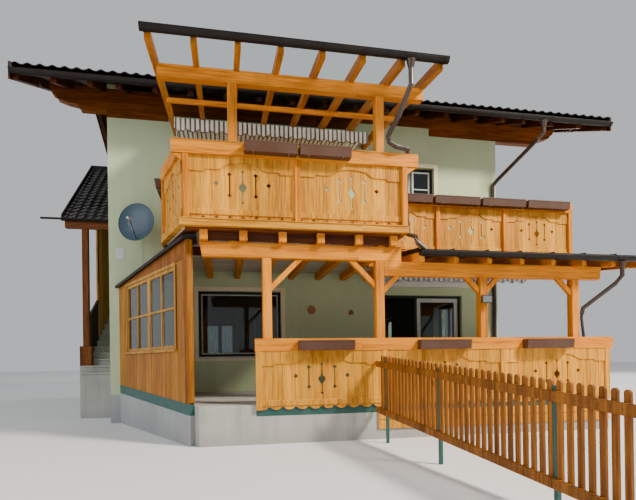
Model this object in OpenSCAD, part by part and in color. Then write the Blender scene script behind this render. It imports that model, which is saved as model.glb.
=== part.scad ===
// Alpine chalet: a rendered two-storey house with a timber porch, two balconies,
// a glazed canopy, an outside stair on the left gable and a picket fence.
// X runs along the front wall, Y into the house and Z up from the lowest ground.

/* [House] */
// Width of the front wall
house_w = 8880; // [8700:10:9600]
// Depth from the front wall to the back wall
house_d = 9600; // [9000:10:11000]
// Thickness of the outer walls
wall_t = 360; // [300:10:420]
// Height of the ground floor and the terrace above the lowest ground
base_h = 600; // [450:10:800]
// Height from the ground floor to the upper floor
storey_h = 3000; // [2950:10:3200]
// Thickness of the upper floor
floor_t = 250; // [180:10:320]
// Height of the front wall's top above the upper floor
wall_up = 2920; // [2840:10:3200]

/* [Main roof] */
// Pitch of the main roof
roof_pitch = 23.8; // [20:0.1:28]
// Distance of the eave's edge from the wall
eave_out = 1100; // [900:10:1300]
// Overhang at the left gable
verge_left = 1410; // [1200:10:1600]
// Overhang at the right gable
verge_right = 2240; // [1900:10:2500]
// Thickness of boarding, battens and tiles together
roof_t = 140; // [100:5:150]
// Width of a rafter
rafter_w = 100; // [80:5:120]
// Depth of a rafter
rafter_h = 160; // [140:5:200]
// Width of a purlin
purlin_w = 180; // [140:10:220]
// Height of the purlins that lie on the walls
purlin_h = 475; // [400:5:520]
// height of the corbels under a wall purlin
corbel_h = 235; // [200:5:260]
// length of the left corbel, from the gable's face
corbel_left = 1230; // [1000:10:1400]
// length of the right corbel, from the gable's face
corbel_right = 1725; // [1500:10:1800]
// Height of the ridge purlin and the middle purlins
upper_purlin_h = 300; // [240:10:360]
// Height of a barge board
barge_h = 300; // [260:10:340]
// Thickness of a barge board
barge_t = 30; // [20:1:50]
// Radius of a ridge tile
ridge_r = 130; // [110:5:160]
// Gap between a roof's covering and the timbers that it lies on
bed = 0.3; // [0.2:0.1:0.8]

/* [Terrace door] */
// Left edge of the doorway from the left corner
door_x = 5790; // [5700:10:5850]
// Width of the doorway
door_w = 2150; // [2050:10:2200]
// Height of the doorway
door_h = 2150; // [2050:10:2200]
// Width of the timbers of door and window frames
frame_w = 60; // [50:1:80]
// Depth of door and window frames
frame_d = 80; // [70:1:100]
// Distance of the frames behind the wall's face
frame_in = 100; // [60:5:140]
// Thickness of a door leaf
leaf_t = 60; // [50:1:68]
// Width of the stiles and rails of a leaf
stile_w = 90; // [70:1:110]
// Gap round the moving leaf
leaf_gap = 8; // [6:1:12]
// Thickness of a pane of glass
glass_t = 24; // [16:1:30]
// Radius of a hinge barrel
hinge_r = 10; // [8:0.5:12]
// Radius of a hinge pin
pin_r = 5; // [4:0.5:6]
// Gap between a hinge pin and its barrel
pin_gap = 0.3; // [0.2:0.1:0.5]

/* [Windows] */
// Width of the painted band round a window
surround_w = 90; // [60:5:120]
// Thickness of the painted band
surround_t = 20; // [10:1:30]
// Thickness of a window sash or a closed door
sash_t = 50; // [40:1:60]

/* [Porch] */
// Distance of the porch posts from the wall to their middle
porch_out = 3300; // [3200:10:3500]
// Side of a square post
post_w = 140; // [120:5:160]
// Height of a porch beam
beam_h = 230; // [200:5:260]
// Height of a balcony joist
joist_h = 160; // [140:5:200]
// Width of a balcony joist
joist_w = 120; // [100:5:140]
// Thickness of the ceiling boards
ceiling_t = 20; // [15:1:30]
// Fall of the lower roof and its rafters
lower_pitch = 7; // [6:0.5:8.5]
// Height of a rafter of the lower roof
lower_rafter_h = 150; // [130:5:160]
// Thickness of the lower roof's covering
lower_roof_t = 50; // [30:5:70]

/* [Balconies] */
// Height of the deck's top below the upper floor
deck_step = 200; // [150:10:240]
// Thickness of the deck with its bearers
deck_t = 160; // [140:5:200]
// Distance of the bay's deck edge from the wall
bay_out = 3470; // [3440:5:3600]
// Distance of the right deck's edge from the wall
right_out = 1670; // [1500:10:1800]
// Length of the deck past the right corner
deck_past = 600; // [500:10:800]
// Height of the rail above the deck
rail_up = 1080; // [980:10:1150]
// Height of the rail board
rail_h = 200; // [160:5:220]
// Thickness of the balustrade boards
board_t = 30; // [24:1:40]
// Width of a balustrade board
board_w = 200; // [160:5:240]
// Side of a balustrade post
newel_w = 90; // [80:5:100]
// Height of the ledge along the deck's edge
ledge_h = 110; // [90:5:130]

/* [Canopy] */
// Height of the canopy beam above the deck
canopy_up = 2060; // [2000:10:2100]
// Height of the canopy beam
canopy_beam_h = 190; // [160:5:220]
// Fall of the canopy
canopy_pitch = 7.8; // [7:0.1:9.5]
// Width of a canopy rafter
canopy_rafter_w = 80; // [60:5:100]
// Height of a canopy rafter
canopy_rafter_h = 140; // [120:5:150]
// Number of canopy rafters
canopy_rafters_n = 8; // [6:1:10]
// Thickness of the canopy's glass
canopy_glass_t = 16; // [12:1:20]
// Distance of the canopy rafters' ends from the wall
canopy_out = 4060; // [3900:10:4200]

/* [Terrace] */
// Distance of the terrace's front edge from the wall
terrace_out = 3400; // [3390:5:3450]
// Length of the terrace past the right corner
terrace_past = 30; // [20:5:60]
// Height of the terrace rail above the floor
terrace_rail_up = 1000; // [900:10:1100]
// Height of the terrace's rail board
terrace_rail_h = 190; // [160:5:220]

/* [Entrance screen] */
// Where the screen leaves the front wall, from the left corner
screen_x = 190; // [150:5:300]
// Where the screen's front corner stands, from the left corner
screen_end_x = 1810; // [1700:10:1850]
// Thickness of the screen's wall
screen_t = 90; // [70:5:110]
// Distance of the screen's top below the balcony deck
screen_drop = 290; // [280:10:350]
// Pitch of the small roof over the screen in degrees
screen_pitch = 9.5; // [8:0.5:9.5]

/* [Stair] */
// Width of the steps
stair_w = 900; // [800:10:1000]
// Rise of a step
step_rise = 170; // [160:1:180]
// Going of a step
step_go = 270; // [250:5:290]
// Height of the street above the lowest ground at the stair
street_h = 1200; // [1150:10:1300]
// Distance of the first step from the front corner
stair_y = 1890; // [1700:10:2000]
// Pitch of the stair's roof
stair_pitch = 39; // [36:0.5:41]
// Thickness of the stair's roof
stair_roof_t = 110; // [90:5:140]
// Height of the post's top above the landing
stair_post_up = 1780; // [1700:10:1850]
// Distance of the roof's lower edge before the first step
stair_roof_past = 1470; // [1300:10:1500]
// Length on plan of the sloping part of the stair's roof
stair_roof_run = 2510; // [2300:10:2600]
// Reach of the roof past the head of the stair
stair_roof_end = 300; // [200:10:400]

/* [Awnings] */
// Reach of the upper awning's bar from the wall
upper_reach = 1200; // [900:10:1300]
// Length of the upper valance
upper_valance = 270; // [220:10:300]
// Reach of the lower awning's bar from the wall
lower_reach = 1500; // [1300:10:1600]
// Length of the lower valance
lower_valance = 150; // [140:10:200]
// Depth of an awning's cassette
cassette_d = 130; // [110:5:150]
// Height of an awning's cassette
cassette_h = 110; // [90:5:130]

/* [Dish] */
// Width of the dish
dish_d = 760; // [600:10:900]

/* [Fence] */
// Number of whole bays of the fence
bays = 3; // [1:1:3]
// Pickets in a bay
bay_pickets = 18; // [14:1:19]
// Height of a picket
picket_h = 900; // [820:10:920]
// Width of a picket
picket_w = 55; // [45:1:56]
// Distance from picket to picket
picket_pitch = 105; // [100:1:112]
// Thickness of a picket
picket_t = 22; // [18:1:30]
// Height of a rail
fence_rail_h = 90; // [70:5:100]
// Thickness of a rail
fence_rail_t = 40; // [30:1:50]
// Side of a steel fence post
steel_w = 40; // [30:2:40]
// Fall of the fence along its length
fence_fall = 0.065; // [0.03:0.005:0.07]

/* [Hidden] */
$fn = 48;

// Levels
floor_z = base_h;
upper_z = base_h + storey_h;
wall_z = upper_z + wall_up;
deck_z = upper_z - deck_step;
deck_low = deck_z - deck_t;
joist_top = deck_low - ceiling_t;
joist_low = joist_top - joist_h;
left_beam_low = joist_low - beam_h;
right_beam_low = left_beam_low - beam_h;

// Main roof: the underside of the rafters rises from the wall to the ridge
ridge_y = house_d / 2;
rise = tan(roof_pitch);
rafter_v = rafter_h / cos(roof_pitch);
roof_v = roof_t / cos(roof_pitch);
rafter_z0 = wall_z + purlin_h - purlin_w * rise;
function under(y) = rafter_z0 + y * rise;
middle_y = house_d / 4 - purlin_w / 2;
ridge_seat = 30;
tail_y = 60 - eave_out;
gutter_r = 75;

// Canopy: the rafters' underside passes over the back edge of the beam
beam_back = porch_out - post_w / 2;
beam_front = porch_out + post_w / 2;
canopy_beam_z = deck_z + canopy_up;
canopy_seat = canopy_beam_z + canopy_beam_h;
canopy_v = canopy_rafter_h / cos(canopy_pitch);
canopy_glass_v = canopy_glass_t / cos(canopy_pitch);
function canopy_under(y) = canopy_seat + (y + beam_back) * tan(canopy_pitch);
canopy_x0 = 1390;
canopy_x1 = 5540;
canopy_posts_x = [2500, 4820];

// Porch
porch_posts_x = [2990, 4790, 6590, house_w - 560];
left_beam_x = [1990, 5150];
right_beam_end = house_w - 40;
bay_joists_x = [1490, 2060, 2640, 3230, 3820, 4430, 5000];
right_joists_x = [for (i = [0 : 5]) 5560 + i * (house_w - 320 - 5560) / 5];

// Lower roof: its rafters lie on the right beam and butt against the edge beam
lower_x = [5340, house_w + 610];
lower_rise = tan(lower_pitch);
lower_v = lower_rafter_h / cos(lower_pitch);
lower_roof_v = lower_roof_t / cos(lower_pitch);
function lower_under(y) = left_beam_low + (y + beam_back) * lower_rise;

// Outline of the deck's edge, from the wall round the bay and to the right end
deck_path = [
    [1430, 0],
    [1430, -2340],
    [1800, -bay_out],
    [5110, -bay_out],
    [5110, -right_out],
    [house_w + deck_past, -right_out],
    [house_w + deck_past, 0],
    [house_w, 0]
];

// Entrance screen: its outer face runs from the wall to the front corner
screen_dir = [screen_end_x - screen_x, -porch_out];
screen_l = norm(screen_dir);
screen_a = atan2(screen_dir.y, screen_dir.x);
screen_low = [810, 630];

// Where the screen's inner face lies at a distance from the front wall
function screen_inside(out) =
    screen_x + out * screen_dir.x / porch_out + screen_t * screen_l / porch_out;
screen_h = deck_low - screen_drop - floor_z;
screen_win = [560, 3160];
screen_sill = 870;
screen_head = screen_h - 170;

// Underside of the small roof over the screen, which rises towards the bay
function screen_under(x) = floor_z + screen_h - 150 + x * tan(screen_pitch);

// Stair
landing_z = upper_z;
steps = ceil((landing_z - street_h) / step_rise);
rise_1 = (landing_z - street_h) / steps;
flight_l = (steps - 1) * step_go;
landing_l = 1100;
pier_top = street_h + 470;
stair_door_w = 900;

// Fence
fence_a = -85.6;
fence_start = [4700, -terrace_out - board_t - 18 - 6];
picket_top = floor_z + 730;
bay_l = bay_pickets * picket_pitch;
// The first post stands near the terrace, the others at the ends of the bays
fence_posts_x = concat([3 * picket_pitch], [for (i = [1 : bays]) i * bay_l]);

// Windows: side, distance from the left end seen from outside, sill and head
// above the ground floor, width, lights. Sides: 0 front, 1 right, 2 back, 3 left.
ground_head = storey_h - 810;
upper_sill = storey_h + 900;
upper_head = storey_h + 2160;
// The left gable's windows keep clear of the stair's landing
stair_end = stair_y + flight_l + landing_l;
left_window_u = house_d - stair_end - 1200 - surround_w - 240;
ground_windows = [
    [0, 1800, 760, ground_head, 1790, 1],
    [1, 1700, 900, ground_head, 1200, 2],
    [1, house_d - 3100, 900, ground_head, 1200, 2],
    [2, 1500, 900, ground_head, 1200, 2],
    [2, house_w - 2780, 900, ground_head, 1200, 2],
    [3, left_window_u, 900, ground_head, 1200, 2]
];
upper_windows = [
    [0, 6190, upper_sill, upper_head, 1080, 2],
    [1, 1700, upper_sill, upper_head, 1080, 2],
    [1, house_d - 3100, upper_sill, upper_head, 1080, 2],
    [2, 1500, upper_sill, upper_head, 1080, 2],
    [2, house_w - 2780, upper_sill, upper_head, 1080, 2],
    [3, left_window_u, upper_sill, upper_head, 1080, 2]
];
stair_door_u = house_d - stair_y - flight_l - stair_door_w - 60;
upper_door_list = [
    [0, 3000, storey_h, storey_h + door_h - 50, 1400],
    [3, stair_door_u, storey_h, storey_h + door_h - 100, stair_door_w]
];

// Helpers

// Puts its children in the frame whose origin is the front left corner
module house() translate([-house_w / 2, -house_d / 2, 0]) children();

// A box between two corners
module block(a, b) translate(a) cube(b - a);

// Extrudes an outline given in Y and Z along X
module along_x(x, w) translate([x, 0, 0]) rotate([90, 0, 90]) linear_extrude(w) children();

// Extrudes an outline given in X and Z towards the front from y
module to_front(y, d) translate([0, y, 0]) rotate([90, 0, 0]) linear_extrude(d) children();

// Moves its children to one side of the house: X along the wall, Y into it
module side(n) {
    if (n == 0) children();
    if (n == 1) translate([house_w, 0, 0]) rotate([0, 0, 90]) children();
    if (n == 2) translate([house_w, house_d, 0]) rotate([0, 0, 180]) children();
    if (n == 3) translate([0, house_d, 0]) rotate([0, 0, 270]) children();
}

// Mirrors its children to the back slope as well
module both_slopes() {
    children();
    translate([0, house_d, 0]) mirror([0, 1, 0]) children();
}

// Direction and left-hand normal of a segment
function unit(v) = v / norm(v);
function turned(v) = [v.y, -v.x];

// Point of a path moved sideways by d, mitred at the corners; d > 0 is outwards
function moved(path, i, d) =
    let (last = len(path) - 1,
         before = unit(path[max(i, 1)] - path[max(i, 1) - 1]),
         after = unit(path[min(i, last - 1) + 1] - path[min(i, last - 1)]),
         n1 = -turned(before),
         n2 = -turned(after))
    path[i] - (n1 + n2) * d / (1 + n1 * n2);
function strip(path, inner, outer) = concat(
    [for (i = [0 : len(path) - 1]) moved(path, i, outer)],
    [for (i = [len(path) - 1 : -1 : 0]) moved(path, i, inner)]);

// A band that follows a path, between two distances from it
module band(path, inner, outer, z, h)
    translate([0, 0, z]) linear_extrude(h) polygon(strip(path, inner, outer));

// Removes what reaches into the house
module outside() {
    difference() {
        children();
        block([-10, 0, -10], [house_w, house_d, wall_z + 1000]);
    }
}

// Rings of a tube along a list of points
function heading(p, i) = unit(
    (i == 0 ? [0, 0, 0] : unit(p[i] - p[i - 1]))
    + (i == len(p) - 1 ? [0, 0, 0] : unit(p[i + 1] - p[i])));
function across(t) = unit(cross(t, abs(t.z) > 0.9 ? [0, 1, 0] : [0, 0, 1]));
tube_n = 12;
function ring(c, t, r) =
    let (a = across(t), b = cross(t, a))
    [for (k = [0 : tube_n - 1]) c + r * (cos(360 * k / tube_n) * a + sin(360 * k / tube_n) * b)];

// A pipe through a list of points
module pipe(p, r) {
    n = len(p);
    rings = [for (i = [0 : n - 1]) each ring(p[i], heading(p, i), r)];
    sides = [for (i = [0 : n - 2], k = [0 : tube_n - 1])
        [(i + 1) * tube_n + k, (i + 1) * tube_n + (k + 1) % tube_n,
         i * tube_n + (k + 1) % tube_n, i * tube_n + k]];
    start = [for (k = [0 : tube_n - 1]) k];
    finish = [for (k = [tube_n - 1 : -1 : 0]) (n - 1) * tube_n + k];
    polyhedron(rings, concat([start], sides, [finish]), convexity = 6);
}

// House

module foundation() {
    color("gainsboro") house() block([0, 0, 0], [house_w, house_d, base_h]);
}

// Cuts the windows and upper doors of one side
module holes(n) {
    for (w = concat(ground_windows, upper_windows, upper_door_list))
        if (w[0] == n) side(n)
            block([w[1], -10, floor_z + w[2]], [w[1] + w[4], wall_t + 10, floor_z + w[3]]);
}

// A wall under the eaves; between the corbels it rises to the purlin
module long_wall(x0, x1, y, z0) {
    block([x0, y, z0], [x1, y + wall_t, wall_z]);
    block([max(x0, corbel_left), y, wall_z - 1],
        [min(x1, house_w - corbel_right), y + wall_t, wall_z + corbel_h]);
}

module front_wall_left() {
    color("darkseagreen") house() difference() {
        long_wall(0, door_x, 0, floor_z);
        holes(0);
    }
}

module front_wall_right() {
    color("darkseagreen") house()
        block([door_x + door_w, 0, floor_z], [house_w, wall_t, wall_z]);
}

module front_wall_over_door() {
    color("darkseagreen") house() difference() {
        long_wall(door_x, door_x + door_w, 0, floor_z + door_h);
        holes(0);
    }
}

// Outline of a gable wall in Y and Z, up to the boarding
module gable_outline() {
    top = under(0) + rafter_v;
    peak = under(ridge_y) + rafter_v;
    polygon([
        [wall_t, floor_z], [house_d - wall_t, floor_z], [house_d - wall_t, wall_z],
        [house_d, wall_z], [house_d, top], [ridge_y, peak], [0, top], [0, wall_z],
        [wall_t, wall_z]
    ]);
}

module gable_wall(n, x) {
    difference() {
        along_x(x, wall_t) gable_outline();
        holes(n);
        purlin_cores();
    }
}

module left_wall() {
    color("darkseagreen") house() gable_wall(3, 0);
}

module right_wall() {
    color("darkseagreen") house() gable_wall(1, house_w - wall_t);
}

module back_wall() {
    color("darkseagreen") house() difference() {
        long_wall(0, house_w, house_d - wall_t, floor_z);
        holes(2);
    }
}

module upper_floor() {
    color("tan") house()
        block([wall_t, wall_t, upper_z - floor_t], [house_w - wall_t, house_d - wall_t, upper_z]);
}

// Windows

module window_surrounds() {
    s = surround_w;
    color("blanchedalmond") house()
        for (w = concat(ground_windows, upper_windows)) side(w[0]) difference() {
            block([w[1] - s, -surround_t, floor_z + w[2] - s],
                [w[1] + w[4] + s, 0, floor_z + w[3] + s]);
            block([w[1], -surround_t - 1, floor_z + w[2]],
                [w[1] + w[4], 1, floor_z + w[3]]);
        }
}

// What lies in the lights of the window w, from y on
module lights_of(w, y, t) {
    f = frame_w;
    l = (w[4] - f) / w[5];
    for (i = [0 : w[5] - 1])
        block([w[1] + f + i * l, y, floor_z + w[2] + f],
            [w[1] + (i + 1) * l, y + t, floor_z + w[3] - f]);
}

// A frame in the opening w, with a post between two lights
module frame_of(w) {
    difference() {
        block([w[1], frame_in, floor_z + w[2]], [w[1] + w[4], frame_in + frame_d, floor_z + w[3]]);
        lights_of(w, frame_in - 1, frame_d + 2);
    }
}

module panes_of(w, t) lights_of(w, frame_in + (frame_d - t) / 2, t);

module window_frames() {
    color("darkslategray") house()
        for (w = concat(ground_windows, upper_windows)) side(w[0]) frame_of(w);
}

module ground_glass() {
    y = frame_in + 10 + (leaf_t - glass_t) / 2;
    color("lightblue", 0.5) house() {
        for (w = ground_windows) side(w[0]) panes_of(w, glass_t);
        screen_panes();
        block([door_mid + frame_w / 2 + stile_w, y, floor_z + 30 + stile_w],
            [door_x + door_w - frame_w - stile_w, y + glass_t,
                floor_z + door_h - frame_w - stile_w]);
    }
}

module upper_glass() {
    color("lightblue", 0.5) house()
        for (w = upper_windows) side(w[0]) panes_of(w, glass_t);
}

module upper_doors() {
    color("saddlebrown") house()
        for (w = upper_door_list) side(w[0])
            block([w[1], frame_in, floor_z + w[2]],
                [w[1] + w[4], frame_in + sash_t, floor_z + w[3]]);
}

// Terrace door: a fixed right leaf, and a left leaf that stands open inwards

door_mid = door_x + door_w / 2 - 55;
leaf_top = floor_z + door_h - frame_w - leaf_gap;
leaf_low = floor_z + 30 + leaf_gap;
axis_x = door_x + frame_w + 2;
axis_y = frame_in + frame_d + hinge_r + 2;
leaf_off = leaf_gap - 2;
leaf_l = door_mid - frame_w / 2 - leaf_gap - axis_x - leaf_off;
hinge_zs = [floor_z + 300, floor_z + door_h - 400];
knuckle_h = 60;

module terrace_door_frame() {
    f = frame_w;
    color("darkslategray") house() {
        difference() {
            block([door_x, frame_in, floor_z], [door_x + door_w, frame_in + frame_d, floor_z + door_h]);
            for (x = [[door_x + f, door_mid - f / 2], [door_mid + f / 2, door_x + door_w - f]])
                block([x[0], frame_in - 1, floor_z + 30],
                    [x[1], frame_in + frame_d + 1, floor_z + door_h - f]);
        }
        for (z = hinge_zs) {
            block([axis_x - 14, frame_in + frame_d - 10, z - knuckle_h], [axis_x, axis_y, z]);
            translate([axis_x, axis_y, z - knuckle_h]) cylinder(r = hinge_r, h = knuckle_h);
            translate([axis_x, axis_y, z - 1]) cylinder(r = pin_r, h = knuckle_h - 9);
        }
    }
}

module terrace_door_fixed_leaf() {
    x = door_mid + frame_w / 2;
    x1 = door_x + door_w - frame_w;
    y = frame_in + 10;
    color("whitesmoke") house() difference() {
        block([x, y, floor_z + 30], [x1, y + leaf_t, floor_z + door_h - frame_w]);
        block([x + stile_w, y - 1, floor_z + 30 + stile_w],
            [x1 - stile_w, y + leaf_t + 1, floor_z + door_h - frame_w - stile_w]);
    }
}

// The moving leaf at rest: open, along Y, hung on two barrel hinges
module terrace_door_leaf() {
    x = axis_x + hinge_r + 2;
    y = axis_y + leaf_off;
    color("whitesmoke") house() {
        difference() {
            block([x, y, leaf_low], [x + leaf_t, y + leaf_l, leaf_top]);
            block([x - 1, y + stile_w, leaf_low + stile_w],
                [x + leaf_t + 1, y + leaf_l - stile_w, leaf_top - stile_w]);
        }
        for (z = hinge_zs) difference() {
            union() {
                translate([axis_x, axis_y, z + pin_gap]) cylinder(r = hinge_r, h = knuckle_h);
                block([axis_x, axis_y, z + pin_gap], [x + 8, y + 8, z + pin_gap + knuckle_h]);
            }
            translate([axis_x, axis_y, z - 1]) cylinder(r = pin_r + pin_gap, h = knuckle_h + 10);
        }
    }
}

module terrace_door_pane() {
    x = axis_x + hinge_r + 2 + (leaf_t - glass_t) / 2;
    y = axis_y + leaf_off;
    color("lightblue", 0.5) house()
        block([x, y + stile_w, leaf_low + stile_w],
            [x + glass_t, y + leaf_l - stile_w, leaf_top - stile_w]);
}

// Main roof

// Outline of a purlin's end in X and Z below its top: u runs in from the tip
function purlin_end(d) = [
    [0, 0], [0, -0.2 * d], [45, -0.42 * d], [105, -0.45 * d], [135, -0.6 * d],
    [330, -0.74 * d], [540, -0.82 * d], [570, -d]
];

module purlin(y, top, d) {
    tip_l = 320 - verge_left;
    tip_r = house_w + verge_right - 630;
    left = [for (p = purlin_end(d)) [tip_l + p.x, top + p.y]];
    right = [for (p = purlin_end(d)) [tip_r - p.x, top + p.y]];
    to_front(y + purlin_w, purlin_w)
        polygon(concat(left, [for (i = [len(right) - 1 : -1 : 0]) right[i]]));
}

ridge_purlin_top = under(ridge_y - purlin_w / 2) + ridge_seat;

module purlins() {
    color("brown") house() {
        both_slopes() difference() {
            purlin(0, wall_z + purlin_h, purlin_h);
            block([corbel_left, -1, wall_z - 1],
                [house_w - corbel_right, purlin_w + 1, wall_z + corbel_h]);
        }
        both_slopes() purlin(middle_y, under(middle_y + purlin_w), upper_purlin_h);
        purlin(ridge_y - purlin_w / 2, ridge_purlin_top, upper_purlin_h);
    }
}

// The purlins' full boxes, as far as the gable walls need them
module purlin_cores() {
    both_slopes() block([-10, 0, wall_z], [house_w + 10, purlin_w, wall_z + purlin_h]);
    both_slopes() block([-10, middle_y, under(middle_y + purlin_w) - upper_purlin_h],
        [house_w + 10, middle_y + purlin_w, under(middle_y + purlin_w)]);
    block([-10, ridge_y - purlin_w / 2, ridge_purlin_top - upper_purlin_h],
        [house_w + 10, ridge_y + purlin_w / 2, ridge_purlin_top]);
}

// A rafter's outline in Y and Z, notched over the three purlins
module rafter_outline() {
    m = middle_y;
    r = ridge_y - purlin_w / 2;
    seat_end = min(r + ridge_seat / rise, ridge_y - 2);
    polygon([
        [tail_y, under(tail_y)], [0, under(0)], [0, under(purlin_w)],
        [purlin_w, under(purlin_w)], [m, under(m)], [m, under(m + purlin_w)],
        [m + purlin_w, under(m + purlin_w)], [r, under(r)], [r, ridge_purlin_top],
        [seat_end, ridge_purlin_top], [ridge_y - 2, under(ridge_y - 2)],
        [ridge_y - 2, under(ridge_y - 2) + rafter_v], [tail_y, under(tail_y) + rafter_v]
    ]);
}

// Rafters stand beside the gable walls and at about equal distances between
rafters_in = 12;
inner_gap = (house_w - 2 * wall_t - rafter_w - 40) / rafters_in;
rafter_xs = concat(
    [for (i = [0 : 2]) -verge_left + 20 + i * (verge_left - rafter_w - 40) / 2],
    [for (i = [0 : rafters_in]) wall_t + 20 + i * inner_gap],
    [for (i = [0 : 3]) house_w + 20 + i * (verge_right - rafter_w - 40) / 3]);

module rafters() {
    color("brown") house()
        both_slopes() for (x = rafter_xs) along_x(x, rafter_w) rafter_outline();
}

// Underside of the boarding over a point
function boarding(y) = under(y) + rafter_v + bed;

module slope_outline() {
    low = -eave_out;
    polygon([
        [low, boarding(low)], [ridge_y, boarding(ridge_y)],
        [ridge_y, boarding(ridge_y) + roof_v], [low, boarding(low) + roof_v]
    ]);
}

module roof_slope() along_x(-verge_left, verge_left + house_w + verge_right) slope_outline();

module roof_front_slope() {
    color("dimgray") house() roof_slope();
}

module roof_back_slope() {
    color("dimgray") house() translate([0, house_d, 0]) mirror([0, 1, 0]) roof_slope();
}

module barge_outline() {
    v = barge_h / cos(roof_pitch);
    low = -eave_out;
    high = ridge_y - 1;
    polygon([
        [low, boarding(low) + roof_v - v], [high, boarding(high) + roof_v - v],
        [high, boarding(high) + roof_v], [low, boarding(low) + roof_v]
    ]);
}

module barge_boards() {
    color("brown") house() both_slopes()
        for (x = [-verge_left - barge_t, house_w + verge_right])
            along_x(x, barge_t) barge_outline();
}

module ridge_cap() {
    peak = boarding(ridge_y) + roof_v;
    x0 = -verge_left - barge_t;
    l = house_w + verge_left + verge_right + 2 * barge_t;
    color("dimgray") house() difference() {
        translate([x0, ridge_y, peak - 40]) rotate([0, 90, 0]) cylinder(r = ridge_r, h = l);
        along_x(x0 - 1, l + 2) polygon([
            [ridge_y - 400, peak - 400 * rise], [ridge_y, peak], [ridge_y + 400, peak - 400 * rise],
            [ridge_y + 400, peak - 400], [ridge_y - 400, peak - 400]
        ]);
    }
}

// A half-round gutter with closed ends; its rim is at z and it touches the plane y
module gutter(x0, x1, y, z, r) {
    wall = 6;
    c = y - r - 0.3;
    translate([x0, c, z]) rotate([90, 0, 90]) {
        linear_extrude(x1 - x0) difference() {
            circle(r);
            circle(r - wall);
            translate([-r - 1, 0]) square([2 * r + 2, r + 1]);
        }
        for (x = [0, x1 - x0 - wall]) translate([0, 0, x]) linear_extrude(wall) difference() {
            circle(r);
            translate([-r - 1, 0]) square([2 * r + 2, r + 1]);
        }
    }
}

main_gutter_z = under(-eave_out) + rafter_v - 5;
canopy_gutter_z = canopy_under(-canopy_out) + canopy_v - 8;
lower_tail = porch_out + 320;
lower_gutter_z = lower_under(-lower_tail) + lower_v - 3;
small_r = 70;

module gutters() {
    color("saddlebrown") house() {
        both_slopes() gutter(-verge_left, house_w + verge_right, tail_y, main_gutter_z, gutter_r);
        gutter(canopy_x0 - 90, canopy_x1 + 90, -canopy_out, canopy_gutter_z, small_r);
        gutter(lower_x[0], lower_x[1], -lower_tail, lower_gutter_z, small_r);
    }
}

pipe_r = 45;

// A funnel under a gutter, from its outlet z down to a pipe of radius r
module funnel(x, y, z, r, h) translate([x, y, z - h]) cylinder(r1 = r - 1, r2 = 1.8 * r, h = h, $fn = 24);

// From the main gutter obliquely to the wall and down beside the right corner
module main_pipe() {
    x = house_w + 520;
    y = tail_y - gutter_r;
    z = main_gutter_z - gutter_r;
    funnel(x, y, z - 0.3, pipe_r, 170);
    pipe([[x, y, z - 150], [x, y, z - 260], [x - 120, y + 60, z - 400],
        [house_w - 30, -90, z - 1000], [house_w - 110, -50, z - 1120],
        [house_w - 110, -50, floor_z + 60]], pipe_r);
}

// From the canopy's gutter over the corner of the rail and down into the lower gutter
module canopy_pipe() {
    r = pipe_r - 6;
    x = canopy_x1 - 490;
    y = -canopy_out - small_r;
    z = canopy_gutter_z - small_r;
    rail_top = newel_top + rail_h + r + 30;
    corner = deck_path[3].x + 152;
    in_front = -bay_out - newel_w - r - 40;
    behind = 75 - bay_out;
    low_y = -lower_tail - small_r;
    funnel(x, y, z - 0.3, r, 130);
    pipe([[x, y, z - 110], [x, y, z - 350], [x - 110, y + 230, z - 700],
        [x - 190, in_front, z - 900], [x - 170, in_front, rail_top + 60],
        [x - 60, in_front, rail_top], [corner - 60, in_front + 60, rail_top],
        [corner, behind, rail_top - 20], [corner, behind, rail_top - 120],
        [corner, behind, lower_gutter_z + 330], [corner, low_y - 10, lower_gutter_z + 220],
        [corner + 30, low_y - 10, lower_gutter_z + 130],
        [lower_x[0] + 90, low_y, lower_gutter_z + 30]], r);
}

// From the lower gutter to the last post, and thinner down behind the rail
module porch_pipe() {
    r = pipe_r - 8;
    x = lower_x[1] - 530;
    y = -lower_tail - small_r;
    z = lower_gutter_z - small_r;
    post = porch_posts_x[3] + post_w / 2;
    funnel(x, y, z - 0.3, r, 130);
    pipe([[x, y, z - 110], [x, y, z - 236], [x - 100, y + 50, z - 374],
        [post + 70, -porch_out - 70, z - 760], [post + 50, -porch_out - 60, z - 865]], r);
    pipe([[post + 52, -porch_out - 60, z - 845], [post + 48, -porch_out - 55, z - 930],
        [post + 120, -porch_out, z - 1150], [post + 130, -porch_out, z - 1230],
        [post + 130, -porch_out, floor_z + 5]], r - 13);
}

module downpipes() {
    color("saddlebrown") house() {
        main_pipe();
        canopy_pipe();
        porch_pipe();
    }
}

// Canopy

module canopy_beams() {
    color("peru") house() {
        block([canopy_x0 + 30, -beam_front, canopy_beam_z], [canopy_x1 + 20, -beam_back, canopy_seat]);
        along_x(canopy_x0 + 30, canopy_x1 - canopy_x0 - 10) polygon([
            [-2140, canopy_under(-2140)], [-2140, canopy_under(-2140) - 80],
            [-2080, canopy_under(-2080) - 80], [-2080, canopy_under(-2080)]
        ]);
    }
}

// Posts from the porch beam through the deck to the canopy beam
module canopy_posts() {
    color("peru") house() for (x = canopy_posts_x)
        block([x - post_w / 2, -beam_front, joist_low], [x + post_w / 2, -beam_back, canopy_beam_z]);
}

module canopy_rafters() {
    gap = (canopy_x1 - canopy_x0) / (canopy_rafters_n - 1);
    color("peru") house() for (i = [0 : canopy_rafters_n - 1])
        along_x(canopy_x0 + i * gap - canopy_rafter_w / 2, canopy_rafter_w) polygon([
            [-canopy_out, canopy_under(-canopy_out)], [-beam_front, canopy_under(-beam_front)],
            [-beam_front, canopy_seat], [-beam_back, canopy_seat],
            [0, canopy_under(0)], [0, canopy_under(0) + canopy_v],
            [-canopy_out, canopy_under(-canopy_out) + canopy_v]
        ]);
}

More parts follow.
